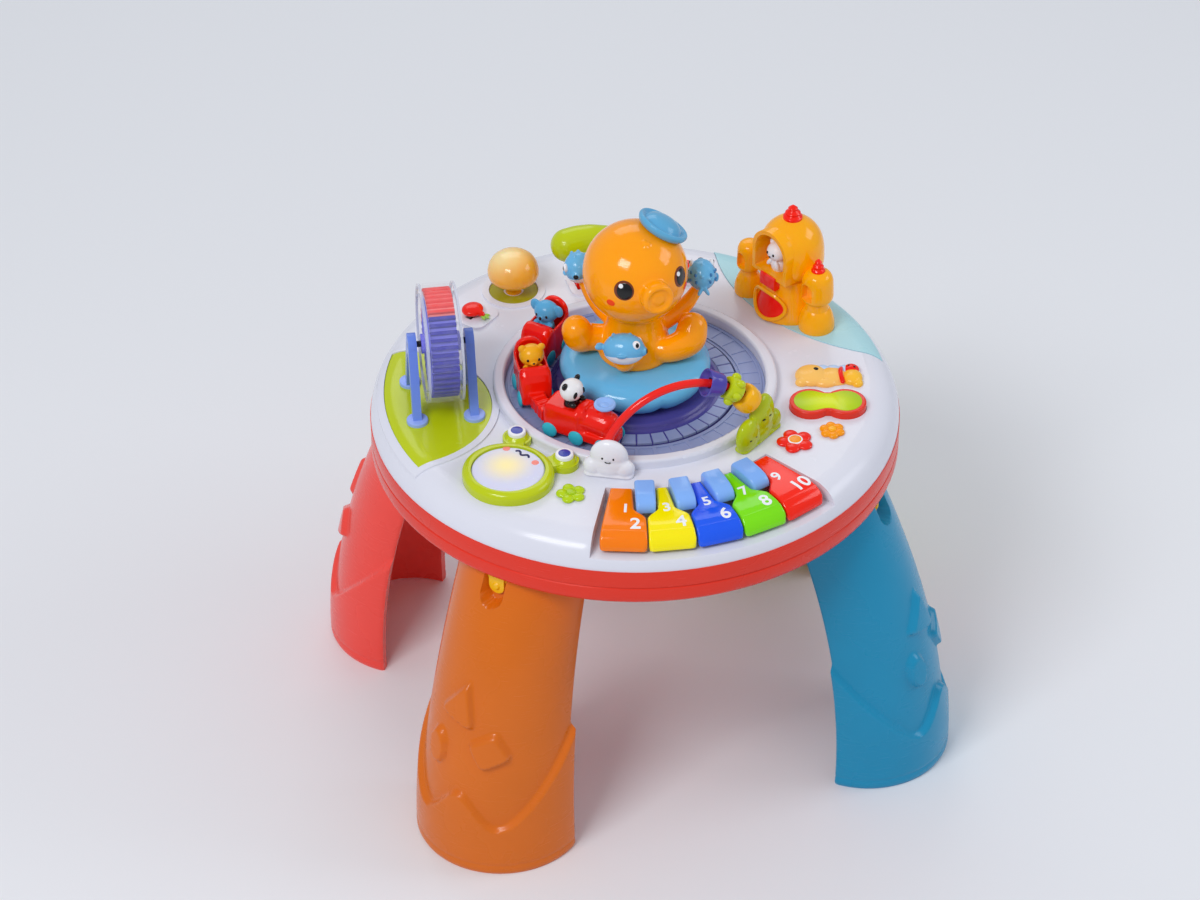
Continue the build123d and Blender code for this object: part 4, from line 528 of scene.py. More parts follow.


# The orange's faint emission is painted light that brightens the octopus.
orange = finish("octopus_orange", (1.0, 0.62, 0.0), roughness=0.14, coat=0.6, through=0.12, glow=0.06)
trunk = turned(((29, 344.2), (30, 347), (29.4, 352), (27, 360), (24, 368), (22.4, 376), (22, 386)))
arms = arm((8, 155, 357, 11), (26, 157, 356.5, 10.8), (37, 160, 357.5, 11.6), (44, 163, 360, 13.2),
           (47, 165, 367, 12.2))
arms += arm((10, -62, 356, 10), (27, -50, 355.5, 10.5), (38, -34, 357, 11.8), (44, -24, 360, 13.2),
            (46, -18, 367, 12.2))
arms += arm((8, 63, 357, 11), (28, 63, 356.5, 11), (42, 63, 359, 12.8), (46, 63, 366, 11.6))
arms += arm((8, -125, 356, 10), (24, -125, 356, 9.6), (31, -125, 356, 9))
for azimuth in (5, 121):
    arms += arm((8, azimuth, 366, 9.5), (28, azimuth, 368, 8), (44, azimuth, 377, 6.5),
                (54, azimuth, 389, 4.8))
fused("octopus_trunk", [trunk] + arms, 1.0, 4, "carousel", orange, ["octopus_body"])

head_radius, head_middle = 42.0, Vector((0, 0, 422.0))
snout_place = (Matrix.Translation(head_middle) @ Matrix.Rotation(radians(facing), 4, "Z")
               @ Matrix.Rotation(radians(85.0), 4, "Y"))
snout = turned(((12.4, 30), (12.6, 40), (13.2, 46), (13.0, 49.4), (11.6, 51.2), (9.6, 51.4), (8.6, 50.2),
                (5.4, 49.6), (4.6, 50.4), (1, 50.5)), 40)
bumps = [ball(head_middle + heading(azimuth, climb) * 41.6, 1.9)
         for azimuth, climb in ((-86, 60), (-77, 62), (-84, 66))]
neck = turned(((22.0, 381.5), (22.0, 400.0)))
fused("octopus_skull", [ball(head_middle, head_radius, sides=72), moved(snout, snout_place), neck] + bumps,
      0.9, 3, "carousel", orange, ["octopus_head"])


def print_on_head(azimuth, climb, width, height, lift=0.3):
    """An oval of ink on the head, a little proud of it."""
    out = heading(azimuth, climb)
    east = heading(azimuth + 90.0)
    up = out.cross(east)
    rim = [east * width * cos(a) + up * height * sin(a) for a in (2 * pi * n / 32 for n in range(32))]
    steps = ((1.0, -0.6), (1.0, lift * 0.6), (0.94, lift), (0.6, lift), (0.3, lift), (0.03, lift))
    return skin([[head_middle + (out * head_radius + reach * share).normalized() * (head_radius + rise)
                  for reach in rim] for share, rise in steps])


eye_brown = finish("eye_brown", (0.45, 0.20, 0.10), roughness=0.2, coat=0.6, wear=0.0)
# Black ink for printed marks, also used as painted shade in the grip's hole.
black_ink_and_shade = finish("black_ink_and_shade", (0.05, 0.05, 0.06), roughness=0.15, coat=0.7, wear=0.0, drift=0.0)
ink_white = finish("ink_white", (0.95, 0.96, 0.98), roughness=0.25, wear=0.0, drift=0.0)
cheek_red = finish("cheek_red", (0.98, 0.27, 0.06), roughness=0.25, wear=0.0)
eye_azimuths, eye_climb = (-121.5, -48.5), 12.0
# each ink: place from the eye's middle, half width and height, and how proud it is
for name, east, up, width, height, lift, ink, slot in (
        ("octopus_eye_rings", 0.0, 0.0, 8.2, 8.6, 0.3, eye_brown, "octopus_orange"),
        ("octopus_eyes", 0.8, -0.6, 6.4, 7.0, 0.5, black_ink_and_shade, "octopus_orange"),
        ("octopus_glints", -3.6, 5.2, 1.9, 1.9, 0.75, ink_white, "rider_white")):
    ovals = [print_on_head(azimuth + east, eye_climb + up, width, height, lift) for azimuth in eye_azimuths]
    solid(name, ovals, "carousel", ink)
solid("octopus_cheeks", [print_on_head(facing + s * 49.5, -6.5, 3.6, 3.0) for s in (-1, 1)],
      "carousel", cheek_red)


# ---- Cap and fish -----------------------------------------------------------------------
# A plain round cap with a rolled brim, glued aslant on the head, and three round
# fish with white bellies that sit in the arms. All are solid mouldings.
def pair(centre, radii, across, lean=0.0, about="Z", sides=28):
    """Two balls mirrored along an axis, leaning apart; the centre is that of the second."""
    mirror = Vector([-1 if axis == across else 1 for axis in "XYZ"])
    return [ball(Vector(centre) * mirror, radii, Matrix.Rotation(-lean, 4, about), sides),
            ball(centre, radii, Matrix.Rotation(lean, 4, about), sides)]


cap_blue = finish("cap_blue", (0.38, 0.68, 0.85), roughness=0.2, coat=0.4)
cap_side = ((1, 41.5), (10, 40.2), (16.6, 38.6), (19.6, 40.2), (21.4, 43.0), (21.8, 45.4), (20.8, 47.0),
            (19.2, 47.0), (17.6, 45.4), (16.4, 45.0), (15.6, 46.4), (13.4, 48.8), (10, 50.6), (5, 51.8),
            (0.6, 52.0))
cap_lean = (Matrix.Translation(head_middle) @ Matrix.Rotation(radians(facing + 90.0), 4, "Z")
            @ Matrix.Rotation(radians(32.0), 4, "Y"))
cap = solid("round_cap", [turned(cap_side, 72)], "carousel", cap_blue, ["octopus_cap"],
            at=cap_lean, sharp=50.0)
rounding = cap.modifiers.new("round", "SUBSURF")
rounding.levels = rounding.render_levels = 1

fish_blue = finish("fish_blue", (0.42, 0.72, 0.90), roughness=0.18, coat=0.5)
fish_spot = finish("fish_spot", (0.20, 0.47, 0.70), roughness=0.25)
fish_wide, fish_high = 11.6, 12.6
# place, azimuth, climb and roll of the nose, stretch of the body, and whether it is spotted
shoal = (((-19.3, -29.2, 370.6), -24.0, 2.0, -24.0, 1.32, False),
         ((58.2, 5.1, 402.5), 76.0, 34.0, 0.0, 1.0, True),
         ((-31.5, 48.8, 401.0), -118.0, 4.0, 12.0, 0.98, False))
fish_skin, fish_bellies, fish_whites, fish_pupils, fish_spots, fish_mouths = [], [], [], [], [], []
for fish_at, nose, climb, roll, stretch, spotted in shoal:
    there = (Matrix.Translation(fish_at) @ Matrix.Rotation(radians(nose), 4, "Z")
             @ Matrix.Rotation(radians(-climb), 4, "Y") @ Matrix.Rotation(radians(roll), 4, "X"))
    long = 12.8 * stretch
    parts = [ball((0, 0, 0), (long, fish_wide, fish_high))]
    parts += pair((-long - 2.2, 2.4, 1.4), (4.4, 1.6, 2.6), "Y", -0.5, "Z")
    parts += pair((-1, fish_wide, -4.5), (4.2, 2.6, 1.4), "Y", 0.5, "X")
    parts += [ball((long - 1.2, 0, -1.5), (2.8, 4.2, 3.8))]
    parts += [ball((x * stretch, y, 12.3 - abs(y) * 0.32 - abs(x) * 0.16), 1.5)
              for x, y in ((-6.5, 1), (-1.5, 4.4), (-1.5, -4.4), (3.6, 0), (-8, -5))]
    fish_skin += [moved(part, there) for part in parts]
    belly = turned([(cos(a) * 1.02, sin(a) * 1.02) for a in (radians(d) for d in range(-88, -23, 7))], 40)
    fish_bellies.append(moved(belly, there @ Matrix.Diagonal((long, fish_wide, fish_high, 1.0))))
    eye_x = long * 0.62
    fish_whites += [moved(eye, there) for eye in pair((eye_x, 8.0, 4.6), (3.2, 2.0, 3.6), "Y")]
    fish_pupils += [moved(eye, there) for eye in pair((eye_x + 0.9, 9.5, 4.7), (1.5, 0.9, 2.0), "Y")]
    if spotted:
        for x, z in ((-0.42, 3.0), (-0.05, 7.0), (0.2, 1.8), (-0.72, 6.0), (-0.35, 9.5), (-0.2, -2.5)):
            out = 11.4 * (1 - x ** 2 - (z / fish_high) ** 2) ** 0.5
            fish_spots += [moved(ink, there) for ink in pair((x * long, out, z), (1.5, 1.0, 1.5), "Y")]
    fish_mouths.append(moved(ball((long + 1.2, 0, -1.5), (0.9, 2.2, 2.0)), there))
fused("fish_bodies", fish_skin, 0.7, 2, "carousel", fish_blue, ["pufferfish"])
solid("fish_bellies", fish_bellies, "carousel", ink_white)
solid("fish_eyes", fish_whites, "carousel", ink_white)
solid("fish_pupils", fish_pupils + fish_mouths, "carousel", black_ink_and_shade)
solid("fish_spots", fish_spots, "carousel", fish_spot)


# ---- Train -----------------------------------------------------------------------
# Locomotive and two wagons, hollow mouldings in glossy red that ride on the disc,
# on teal wheels. A koala, a bear and a panda sit in them, glued in their seats.
def bar(stations, top=2.0, foot=0.6, arc=5):
    """A closed bar along Y: (y, x from, x to, z from, z to) stations, its long edges rounded."""
    rings = []
    for y, x0, x1, z0, z1 in stations:
        outline = []
        for x, z, turn, corner in ((x0, z0, 180, foot), (x1, z0, 270, foot), (x1, z1, 0, top),
                                   (x0, z1, 90, top)):
            r = max(0.02, min(corner, (x1 - x0) * 0.49, (z1 - z0) * 0.49))
            middle_x, middle_z = (x + r if x == x0 else x - r), (z + r if z == z0 else z - r)
            for k in range(arc + 1):
                a = radians(turn + 90 * k / arc)
                outline.append((middle_x + r * cos(a), y, middle_z + r * sin(a)))
        rings.append(outline[::-1])
    return skin(rings)


def rounded_bar(y0, y1, half, z0, z1, corner=3.0, top=2.5):
    """A plain bar whose ends are rounded in plan and over the top."""
    stations = set()
    for a in (radians(18 * k) for k in range(6)):
        width, height = half - corner * (1 - cos(a)), z1 - top * (1 - cos(a))
        for end, side in ((y0, 1), (y1, -1)):
            stations.add((end + side * corner * (1 - sin(a)), width, height))
    return bar([(y, -w, w, z0, z) for y, w, z in sorted(stations)], top=top)


def straight_bar(y0, y1, x0, x1, z0, z1, top=2.0, foot=0.6, arc=5):
    """A bar of one section from end to end."""
    return bar([(y, x0, x1, z0, z1) for y in (y0, y1)], top, foot, arc)


def disc(radius, low, high, corner=0.5, sides=40):
    """An upright disc with a rounded top edge."""
    arc = [(radius - corner * (1 - cos(a)), high - corner * (1 - sin(a)))
           for a in (radians(30 * k) for k in range(4))]
    return turned([(radius, low)] + arc + [(radius * 0.02, high)], sides)


train_red = finish("train_red", (0.97, 0.10, 0.02), roughness=0.16, coat=0.4)
train_radius, car_floor = 84.0, 318.2
engine_azimuth, wagon_azimuth, last_azimuth = 222.0, 173.0, 132.0
peg = straight_bar(-9, 9, -12.2, -4.5, disc_top, 319, top=0.5)
tub = rounded_bar(-20.8, 20.8, 12.4, car_floor, 330.0, corner=5, top=1.0)
walls = [bar([(y, *sorted((s * 12.4, s * 10.2)), 322, 343.0 + ease((y + 8) / -10) * 4)
              for y in (-18, -14, -10, 0, 6, 10)], top=1.1) for s in (-1, 1)]
hood = bar([(y, -half, half, low, high) for y, half, low, high in (
    (5, 12.6, 320, 345.0), (9, 12.9, 319.4, 347.4), (13, 12.9, 318.6, 346.8), (16.5, 12.6, 318.3, 343.6),
    (19.0, 12.0, 318.3, 338), (20.6, 11.0, 318.4, 330.5), (21.2, 9.8, 318.8, 325))], top=5.5)
back_edge = [(-11.6, 322), (11.6, 322)] + [(11.6 * cos(radians(t)), 346.5 + 11.8 * sin(radians(t)))
                                          for t in range(0, 181, 10)]
back_steps = ((-19.6, 0.94), (-18.8, 1.0), (-15.6, 1.0), (-14.8, 0.95), (-14.6, 0.86), (-15.4, 0.80))
back = skin([[(x * k, y, z if z < 342 else 342 + (z - 342) * k) for x, z in back_edge]
             for y, k in back_steps])
wagons = []
# each wagon, what it is hooked to, and how far back on that
for azimuth, ahead, tail in ((wagon_azimuth, engine_azimuth, -31), (last_azimuth, wagon_azimuth, -20)):
    wagons += [moved(shape, spot(train_radius, azimuth)) for shape in [tub, hood, peg] + walls + [back]]
    start = spot(train_radius, azimuth) @ Vector((1.5, 19, 0))
    way = spot(train_radius, ahead) @ Vector((1.5, tail, 0)) - start
    link_at = Matrix.Translation(start) @ Matrix.Rotation(atan2(way.y, way.x) - pi / 2, 4, "Z")
    folds = [straight_bar(y - 0.7, y + 0.7, -6.5, 6.5, 319.2, 330.5, top=1.4)
             for y in (way.length * k / 4 for k in (1, 2, 3))]
    link = straight_bar(0, way.length, -6, 6, 319.4, 330, top=1.2)
    wagons += [moved(shape, link_at) for shape in [link] + folds]
fused("wagon_shells", wagons, 0.7, 2, "carousel", train_red, ["wagons"])

engine_at, funnel_y = spot(train_radius, engine_azimuth), 19.0
funnel = turned(((7.4, 338), (6.2, 343.6), (5.2, 347), (5.4, 350.6)), 32)
engine = [rounded_bar(-31, 31, 12.2, car_floor, 326, corner=5, top=1.5), peg,
          rounded_bar(-31, 3, 12.6, 320, 342.5, corner=4, top=3.5),
          bar([(-7, -9, 9, 330, 341), (-2, -10.8, 10.8, 328, 345.4), (4, -11, 11, 326, 346.0),
               (7.5, -10.2, 10.2, 326, 343)], top=6),
          limb([(0, 2, 333.5, 11.2), (0, 12, 333.8, 11.2), (0, 22, 332.6, 11.2), (0, 26, 331.0, 9.6)])[0],
          ball((0, 25.4, 331.0), (10.6, 5.4, 10.6)), moved(funnel, Matrix.Translation((0, funnel_y, 0)))]
fused("engine_shell", engine, 0.7, 2, "carousel", train_red, ["locomotive"], at=engine_at)
funnel_blue = finish("funnel_blue", (0.58, 0.74, 0.97), roughness=0.2)
funnel_rim = ((4.5, 349.6), (7.6, 349.8), (8.6, 350.8), (8.8, 352.0), (8.2, 353.1), (6.6, 353.2),
              (5.2, 352.4), (3.4, 351.6), (2.4, 351.9), (0.1, 352.2))
solid("funnel_ring", [turned(funnel_rim, 40)], "carousel", funnel_blue,
      at=engine_at @ Matrix.Translation((0, funnel_y + 0.5, 0)))
wheel_teal = finish("wheel_teal", (0.20, 0.72, 0.80), roughness=0.22)
wheels = []
for azimuth, axles in ((engine_azimuth, (-24, 0, 24)), (wagon_azimuth, (-12, 12)), (last_azimuth, (-12, 12))):
    for y in axles:
        wheels += [moved(wheel, spot(train_radius, azimuth))
                   for wheel in pair((12.6, y, 319.4), (2.2, 6.7, 6.7), "X")]
solid("oval_wheels", wheels, "carousel", wheel_teal, ["train_wheels"])

# the riders: where each one's head is along its car, how high and how far it is turned
koala_blue = finish("koala_blue", (0.36, 0.68, 0.86), roughness=0.25)
bear_yellow = finish("bear_yellow", (0.98, 0.70, 0.10), roughness=0.25)
panda_white = finish("panda_white", (0.93, 0.93, 0.94), roughness=0.25)
for rider, azimuth, along, height, turn, fur in (
        ("koala", last_azimuth, -3.0, 352.5, 0.0, koala_blue),
        ("bear", wagon_azimuth, -3.0, 350.5, 0.0, bear_yellow),
        ("panda", engine_azimuth, -10.5, 355.5, -8.0, panda_white)):
    head = [ball((0, 0, 0), (10.2, 9.2, 9.2), sides=32)]
    sitting = [ball((0, 0.5, -15), (7.2, 6.2, 11))]
    sitting += pair((6.0, 5.6, -9.4), (2.7, 3.8, 2.6), "X", sides=16)
    eyes = pair((4.4, 8.0, 0.2), (1.2, 0.9, 1.4), "X", sides=12)
    if rider == "koala":
        ears = pair((10.4, -0.6, 2.6), (4.8, 2.0, 5.6), "X", sides=24)
        furry = head + sitting + ears + [ball((0, 9.2, -1.6), (2.0, 1.4, 2.3), sides=16)]
        dark = eyes + [ball((0, 10.2, -1.2), (1.3, 0.8, 1.8), sides=14)]
    elif rider == "bear":
        ears = pair((7.8, 0.2, 7.0), (3.3, 2.0, 3.3), "X", sides=20)
        furry = head + sitting + ears + [ball((0, 8.2, -2.8), (3.2, 1.9, 2.4), sides=16)]
        dark = eyes + [ball((0, 9.9, -2.0), (1.1, 0.6, 0.8), sides=12)]
    else:
        furry = head
        dark = pair((8.0, -0.6, 6.8), (3.0, 1.9, 3.0), "X", sides=20)
        dark += pair((4.8, 7.5, 0.3), (2.1, 1.3, 3.1), "X", -0.5, "Y", sides=16)
        dark += [ball((0, 9.1, -2.4), (1.2, 0.6, 0.9), sides=12), ball((0, 0, -14), (7.2, 6.2, 10.0))]
        dark += pair((6.2, 5.0, -9.4), (2.5, 3.9, 2.4), "X", sides=16)
    head_at = (spot(train_radius, azimuth) @ Matrix.Translation((0, along, height))
               @ Matrix.Rotation(radians(turn), 4, "Z"))
    fused("rider_" + rider, furry, 0.5, 2, "carousel", fur,
          ["train_animals"] if rider == "koala" else (), at=head_at)
    solid(rider + "_marks", dark, "carousel", black_ink_and_shade, at=head_at)


# ---- Big wheel --------------------------------------------------------------------
# Clear polystyrene drum over a ribbed insert whose rim changes from red to indigo,
# on a dark axle between two periwinkle A-frames with round feet, screwed from below.
def hoop(rings):
    """A shape whose last ring runs on into its first, such as a band."""
    count, total = len(rings[0]), len(rings)
    faces = strips(count, [(k, (k + 1) % total) for k in range(total)])
    return [Vector(point) for row in rings for point in row], faces


def turned_ring(side, sides):
    """A ring turned about Z, through a closed outline of (radius, height) pairs."""
    return hoop([ring(radius, height, sides) for radius, height in side])


def band(outer, inner, low, high):
    """A turned ring of square section."""
    return turned_ring(((outer, low), (outer, high), (inner, high), (inner, low)), 88)


wheel_radius, wheel_azimuth, wheel_height = 157, 170, 370
wheel_at = spot(wheel_radius, wheel_azimuth, wheel_height)
axle_line = wheel_at @ Matrix.Rotation(pi / 2, 4, "Y")         # local Z outward along the axle
clear = finish("clear_plastic", (0.93, 0.95, 1.0), roughness=0.05, coat=0.6, alpha=0.06, drift=0.0,
               wear=0.0)
clear_edge = finish("clear_edge", (0.84, 0.86, 0.93), roughness=0.08, coat=0.8, alpha=0.42, drift=0.0,
                    wear=0.0)
frame_blue = finish("frame_periwinkle", (0.44, 0.56, 0.90), roughness=0.25)
dress(clear, "ferris_drum", edge=0.5)
dress(finish("axle_grey", (0.10, 0.10, 0.12), roughness=0.35), "ferris_axle", edge=0.4)
dress(frame_blue, "ferris_frames", edge=1.4)
foot_blue = finish("foot_periwinkle", (0.60, 0.70, 0.97), roughness=0.25)
feet = [moved(disc(8.6, deck_z + 0.6, deck_z + 4, 0.8), Matrix.Translation((x, y, 0)))
        for x in (-23.0, 23.0) for y in (-26.5, 26.5)]
solid("frame_feet", feet, "table", foot_blue, at=spot(wheel_radius, wheel_azimuth))


def on_rim(shape, phi):
    """The shape, drawn across the rim at the top of the wheel, turned about the axle."""
    return moved(shape, wheel_at @ Matrix.Rotation(-radians(phi), 4, "X") @ Matrix.Rotation(-pi / 2, 4, "Z"))


rib_count = 44
red_from, red_to = -98, 24      # degrees round the axle from the top, where the rim is red
rib = bar([(y, -w, w, 39.5, z) for y, w, z in ((-10.8, 1.4, 43.4), (-10.2, 1.5, 43.9), (10.2, 1.5, 43.9),
                                               (10.8, 1.4, 43.4))], top=0.7, foot=0.1, arc=3)
ribs = {"red": [], "indigo": []}
for k in range(rib_count):
    phi = 360 * (k + 0.5) / rib_count - 180
    ribs["red" if red_from < phi < red_to else "indigo"].append(on_rim(rib, phi))
insert_pale = finish("insert_pale", (0.48, 0.47, 0.93), roughness=0.3)
insert_rose = finish("insert_rose", (0.99, 0.52, 0.50), roughness=0.3)
insert_red = finish("insert_red", (0.98, 0.16, 0.10), roughness=0.25)
insert_indigo = finish("insert_indigo", (0.12, 0.08, 0.66), roughness=0.25)
core = [band(40.6, 36.8, -10.6, 10.6), band(37.0, 4.0, -1.5, 1.5), band(8.0, 2.6, -15.6, 15.6)]
solid("insert_core", core, "big_wheel", insert_pale, ["ferris_insert"], at=axle_line)
rose = straight_bar(-10.8, 10.8, -3.1, 3.1, 38.5, 41.1, top=0.2, foot=0.1, arc=2)
solid("insert_rose_core", [on_rim(rose, red_from + 4 + 360 / rib_count * k) for k in range(15)],
      "big_wheel", insert_rose)
solid("insert_ribs_red", ribs["red"], "big_wheel", insert_red)
solid("insert_ribs_indigo", ribs["indigo"], "big_wheel", insert_indigo)
solid("drum_edges", [band(47.9, 45.9, 12.6, 14.6), band(47.9, 45.9, -14.6, -12.6),
                     band(40.2, 39.4, 13.2, 14.9), band(40.2, 39.4, -14.9, -13.2)],
      "big_wheel", clear_edge, at=axle_line)


# ---- Bead loop --------------------------------------------------------------------
# Bent red steel tube, plastic coated, between a white cloud and a green hill that are
# moulded hollow and screwed from below. Three beads slide and turn on it.
dress(finish("tube_red", (0.97, 0.13, 0.10), roughness=0.12, coat=0.6), "loop_tube")
cloud_white = finish("cloud_white", (0.93, 0.93, 0.96), roughness=0.2, coat=0.4)
cloud_at = spot(122.5, -118.5, deck_z) @ Matrix.Rotation(pi / 2, 4, "Z")
cloud = [ball((0, 1.0, 17.2), (15.4, 6.8, 15.0)), ball((0, 0.5, 9.5), (18.5, 7.0, 10.5)),
         ball((-12.4, 0, 7.4), (8.4, 6.6, 8.0)), ball((12.4, 0, 7.2), (8.4, 6.6, 7.8)),
         ball((0, 0, 7), (15, 6.8, 8)), rounded_bar(-6.2, 6.2, 20, 0.2, 3.5, corner=5, top=2)]
fused("cloud", cloud, 0.6, 9, "table", cloud_white, ["cloud_post"], at=cloud_at)
face = pair((4.4, -5.2, 18.4), (0.9, 0.7, 1.2), "X", sides=12)
smile = [(2.6 * sin(radians(a)), -6.1, 16.6 - 1.6 * cos(radians(a)), 0.42) for a in range(-50, 51, 20)]
solid("cloud_face", face + limb(smile, sides=8, steps=2), "table", black_ink_and_shade, at=cloud_at)

hill_lime = finish("hill_lime", (0.72, 0.79, 0.03), roughness=0.16, coat=0.6, through=0.1)
hill_at = spot(122.5, -56, deck_z) @ Matrix.Rotation(pi / 2, 4, "Z")
hill = [ball((4, 0, 21), (14.4, 7.4, 19.4)), ball((-15.6, -1.0, 12.0), (13.4, 7.0, 15.6)),
        ball((18.4, 0, 8.4), (9.4, 6.4, 9.4)), rounded_bar(-6.2, 6.2, 26, 0.2, 3.5, corner=5, top=2),
        ball((1, 0, 8), (17, 6.8, 12))]
fused("hill", hill, 0.6, 9, "table", hill_lime, ["hill_post"], at=hill_at)
marks = [ball((2 + s * 4.0, -7.0, 22.5), (1.9, 0.8, 0.6), sides=12) for s in (-1, 1)]
marks += [ball((s * 3.4 - 16.6, -7.5, 12.5), (1.4, 0.7, 0.5), sides=12) for s in (-1, 1)]
solid("hill_faces", marks, "table", black_ink_and_shade, at=hill_at)

arc_x, arc_y, arc_radius = 4.4, -102, 68


def beaded(name, angle, shapes, body, material, stands_for):
    """A bead at an angle on the arc of the tube, its local Z along the tube toward the cloud."""
    a = radians(angle)
    there = Matrix.Translation((arc_x + arc_radius * cos(a), arc_y, deck_z + arc_radius * sin(a)))
    solid(name, shapes, body, material, stands_for, at=there @ Matrix.Rotation(-a, 4, "Y"))


bead_violet = finish("bead_purple", (0.30, 0.27, 0.66), roughness=0.2, coat=0.5)
bead_amber = finish("bead_yellow", (0.99, 0.72, 0.04), roughness=0.18, coat=0.5, through=0.1)
bell = ((4.5, -7.8), (6.6, -7.8), (8.4, -7.0), (9.4, -4.8), (9.9, -1), (10.5, 3), (11.3, 6), (11.4, 7.4),
        (10.8, 7.9), (10.0, 7.5), (9.0, 5.6), (7.2, 4.4), (4.5, 4.0))
cog = ((4.5, -6.6), (7.6, -6.6), (8.9, -5.8), (9.8, -3), (10.0, 0), (9.8, 3), (8.9, 5.8), (7.6, 6.6),
       (4.5, 6.6))
knobs = [ball((10.2 * cos(a), 10.2 * sin(a), 0), (3.3, 3.3, 4.2), sides=18)
         for a in (radians(60 * k + 30) for k in range(6))]
barrel = ((4.5, -7.0), (8.8, -7.0), (10.5, -6.2), (11.3, -4.0), (11.5, 0), (11.3, 4.0), (10.5, 6.2),
          (8.8, 7.0), (4.5, 7.0))
beaded("purple_bell", 67.5, [turned_ring(bell, 72)], "bead_a", bead_violet, ["bead_purple"])
beaded("lime_cog", 52.5, [turned_ring(cog, 72)] + knobs, "bead_b", lime, ["bead_lime"])
beaded("yellow_barrel", 38.5, [turned_ring(barrel, 72)], "bead_c", bead_amber, ["bead_yellow"])


# ---- Piano ------------------------------------------------------------------------
# Five long keys, solid-coloured glossy mouldings that rock on pins under the tray's
# back, their numerals printed in white, and four short keys seated in between.
key_azimuth, key_pitch = -89.8, 10.8
key_top = ((144, 316), (190, 316), (193, 315.6), (196, 314.6), (199, 313.1), (201.5, 311.3), (203.5, 309),
           (205, 306.2), (205.6, 303.9))
key_radii = (144, 145, 148, 155, 165, 168, 169.5, 171, 172.5, 174, 175.5, 177, 178.5, 180, 181.5, 185, 190,
             193, 195, 196.5, 198, 199.5, 201, 202, 203, 204, 204.8, 205.3, 205.6)


def key_height(r):
    """Height of a key's top at a radius."""
    for (r0, z0), (r1, z1) in zip(key_top, key_top[1:]):
        if r <= r1:
            return z0 + (z1 - z0) * max(0.0, r - r0) / (r1 - r0)
    return key_top[-1][1]


def key_side(r, necked, corner):
    """Half the width of a key at a radius, narrower beside a short key, rounded at the lip."""
    width = r * sin(radians(key_pitch / 2)) - 0.5 - corner
    return width - (8.6 * (1 - ease((r - 169) / 12.0)) if necked else 0.0)


def long_key(necked_low, necked_high):
    """A key from its back to its front lip; each flag says whether a short key lies there."""
    rings = []
    for r in key_radii:
        corner = 4.0 * (1 - max(0.0, 1 - (max(0.0, r - 201.6) / 4.0) ** 2) ** 0.5)
        y0, y1 = -key_side(r, necked_low, corner), key_side(r, necked_high, corner)
        top = key_height(r) + 0.55 * max(0.0, 1 - abs(r - 196.5) / 1.6) - (0.8 if r < 145 else 0.0)
        foot = 304.0 - 2.4 * ease((r - 202.6) / 1.2)
        soft = min(2.0, (top - foot) * 0.45)
        edge = [(soft * (1 - cos(a)), top - soft * (1 - sin(a))) for a in (radians(18 * k) for k in range(6))]
        rings.append([(r, y0, foot), (r, y1, foot)] + [(r, y1 - inset, z) for inset, z in edge]
                     + [(r, y0 + inset, z) for inset, z in reversed(edge)])
    return skin(rings)


def printed(name, text, r, azimuth, height, body):
    """A numeral as thin white ink on a key, upright for who sits before it."""
    curve = bpy.data.curves.new(name, "FONT")
    curve.body, curve.align_x, curve.align_y = text, "CENTER", "CENTER"
    curve.size, curve.offset, curve.extrude = 1.0, 0.022, 0.1
    writing = bpy.data.objects.new(name + "_text", curve)
    bpy.context.scene.collection.objects.link(writing)
    bpy.context.view_layer.update()
    flat = bpy.data.meshes.new_from_object(writing.evaluated_get(bpy.context.evaluated_depsgraph_get()))
    bpy.data.objects.remove(writing)
    low, high = min(v.co.y for v in flat.vertices), max(v.co.y for v in flat.vertices)
    scale, middle = height / (high - low), (low + high) / 2
    cuts = bmesh.new()
    cuts.from_mesh(flat)
    for bend in (190, 191.5, 193, 194.5):      # so that the ink follows the key's curve
        bmesh.ops.bisect_plane(cuts, geom=cuts.verts[:] + cuts.edges[:] + cuts.faces[:], plane_no=(0, 1, 0),
                               plane_co=(0, middle + (r - bend) / scale, 0))
    cuts.to_mesh(flat)
    cuts.free()
    points = []
    for v in flat.vertices:
        reach = r - (v.co.y - middle) * scale
        points.append(Vector((reach, v.co.x * scale, key_height(reach) + (0.2 if v.co.z > 0 else -0.3))))
    shape = points, [tuple(face.vertices) for face in flat.polygons]
    bpy.data.meshes.remove(flat)
    solid(name, [shape], body, ink_white, at=spot(0, azimuth))


key_tints = (("key_orange", (1.0, 0.50, 0.0)), ("key_yellow", (1.0, 0.93, 0.0)),
             ("key_blue", (0.10, 0.36, 0.95)), ("lime", (0.50, 0.90, 0.04)), ("key_red", (1.0, 0.13, 0.01)))
for k, (slot, colour) in enumerate(key_tints):
    key = "key_%d" % (k + 1)
    azimuth = key_azimuth + (k - 2) * key_pitch
    plastic = finish(key + "_plastic", colour, roughness=0.14, coat=0.5, through=0.08)
    solid(key + "_top", [long_key(k > 0, k < 4)], key, plastic, [key], at=spot(0, azimuth))
    printed(key + "_odd_number", str(2 * k + 1), 169.7, azimuth, 10.5, key)
    printed(key + "_even_number", str(2 * k + 2), 188.2, azimuth + 2.6, 12.5, key)
short_blue = finish("short_key_blue", (0.52, 0.71, 0.98), roughness=0.16, coat=0.5, wear=0.0)
# radius, half width and height along a short key
short_stations = ((140.8, 7.0, 318.5), (141.2, 7.7, 321.2), (142.4, 8, 322.5), (150, 8, 322.8),
                  (160, 8, 322.6), (166, 7.9, 321.6), (169.5, 7.7, 319.6), (171.3, 7.3, 317.2),
                  (171.9, 6.8, 314.8))
short_key = bar([(r, -half, half, deck_z + 0.6, z) for r, half, z in short_stations], top=2.4)
solid("short_key_caps", [moved(short_key, spot(0, key_azimuth + (k - 1.5) * key_pitch)
                               @ Matrix.Rotation(-pi / 2, 4, "Z")) for k in range(4)],
      "table", short_blue, ["short_keys"])
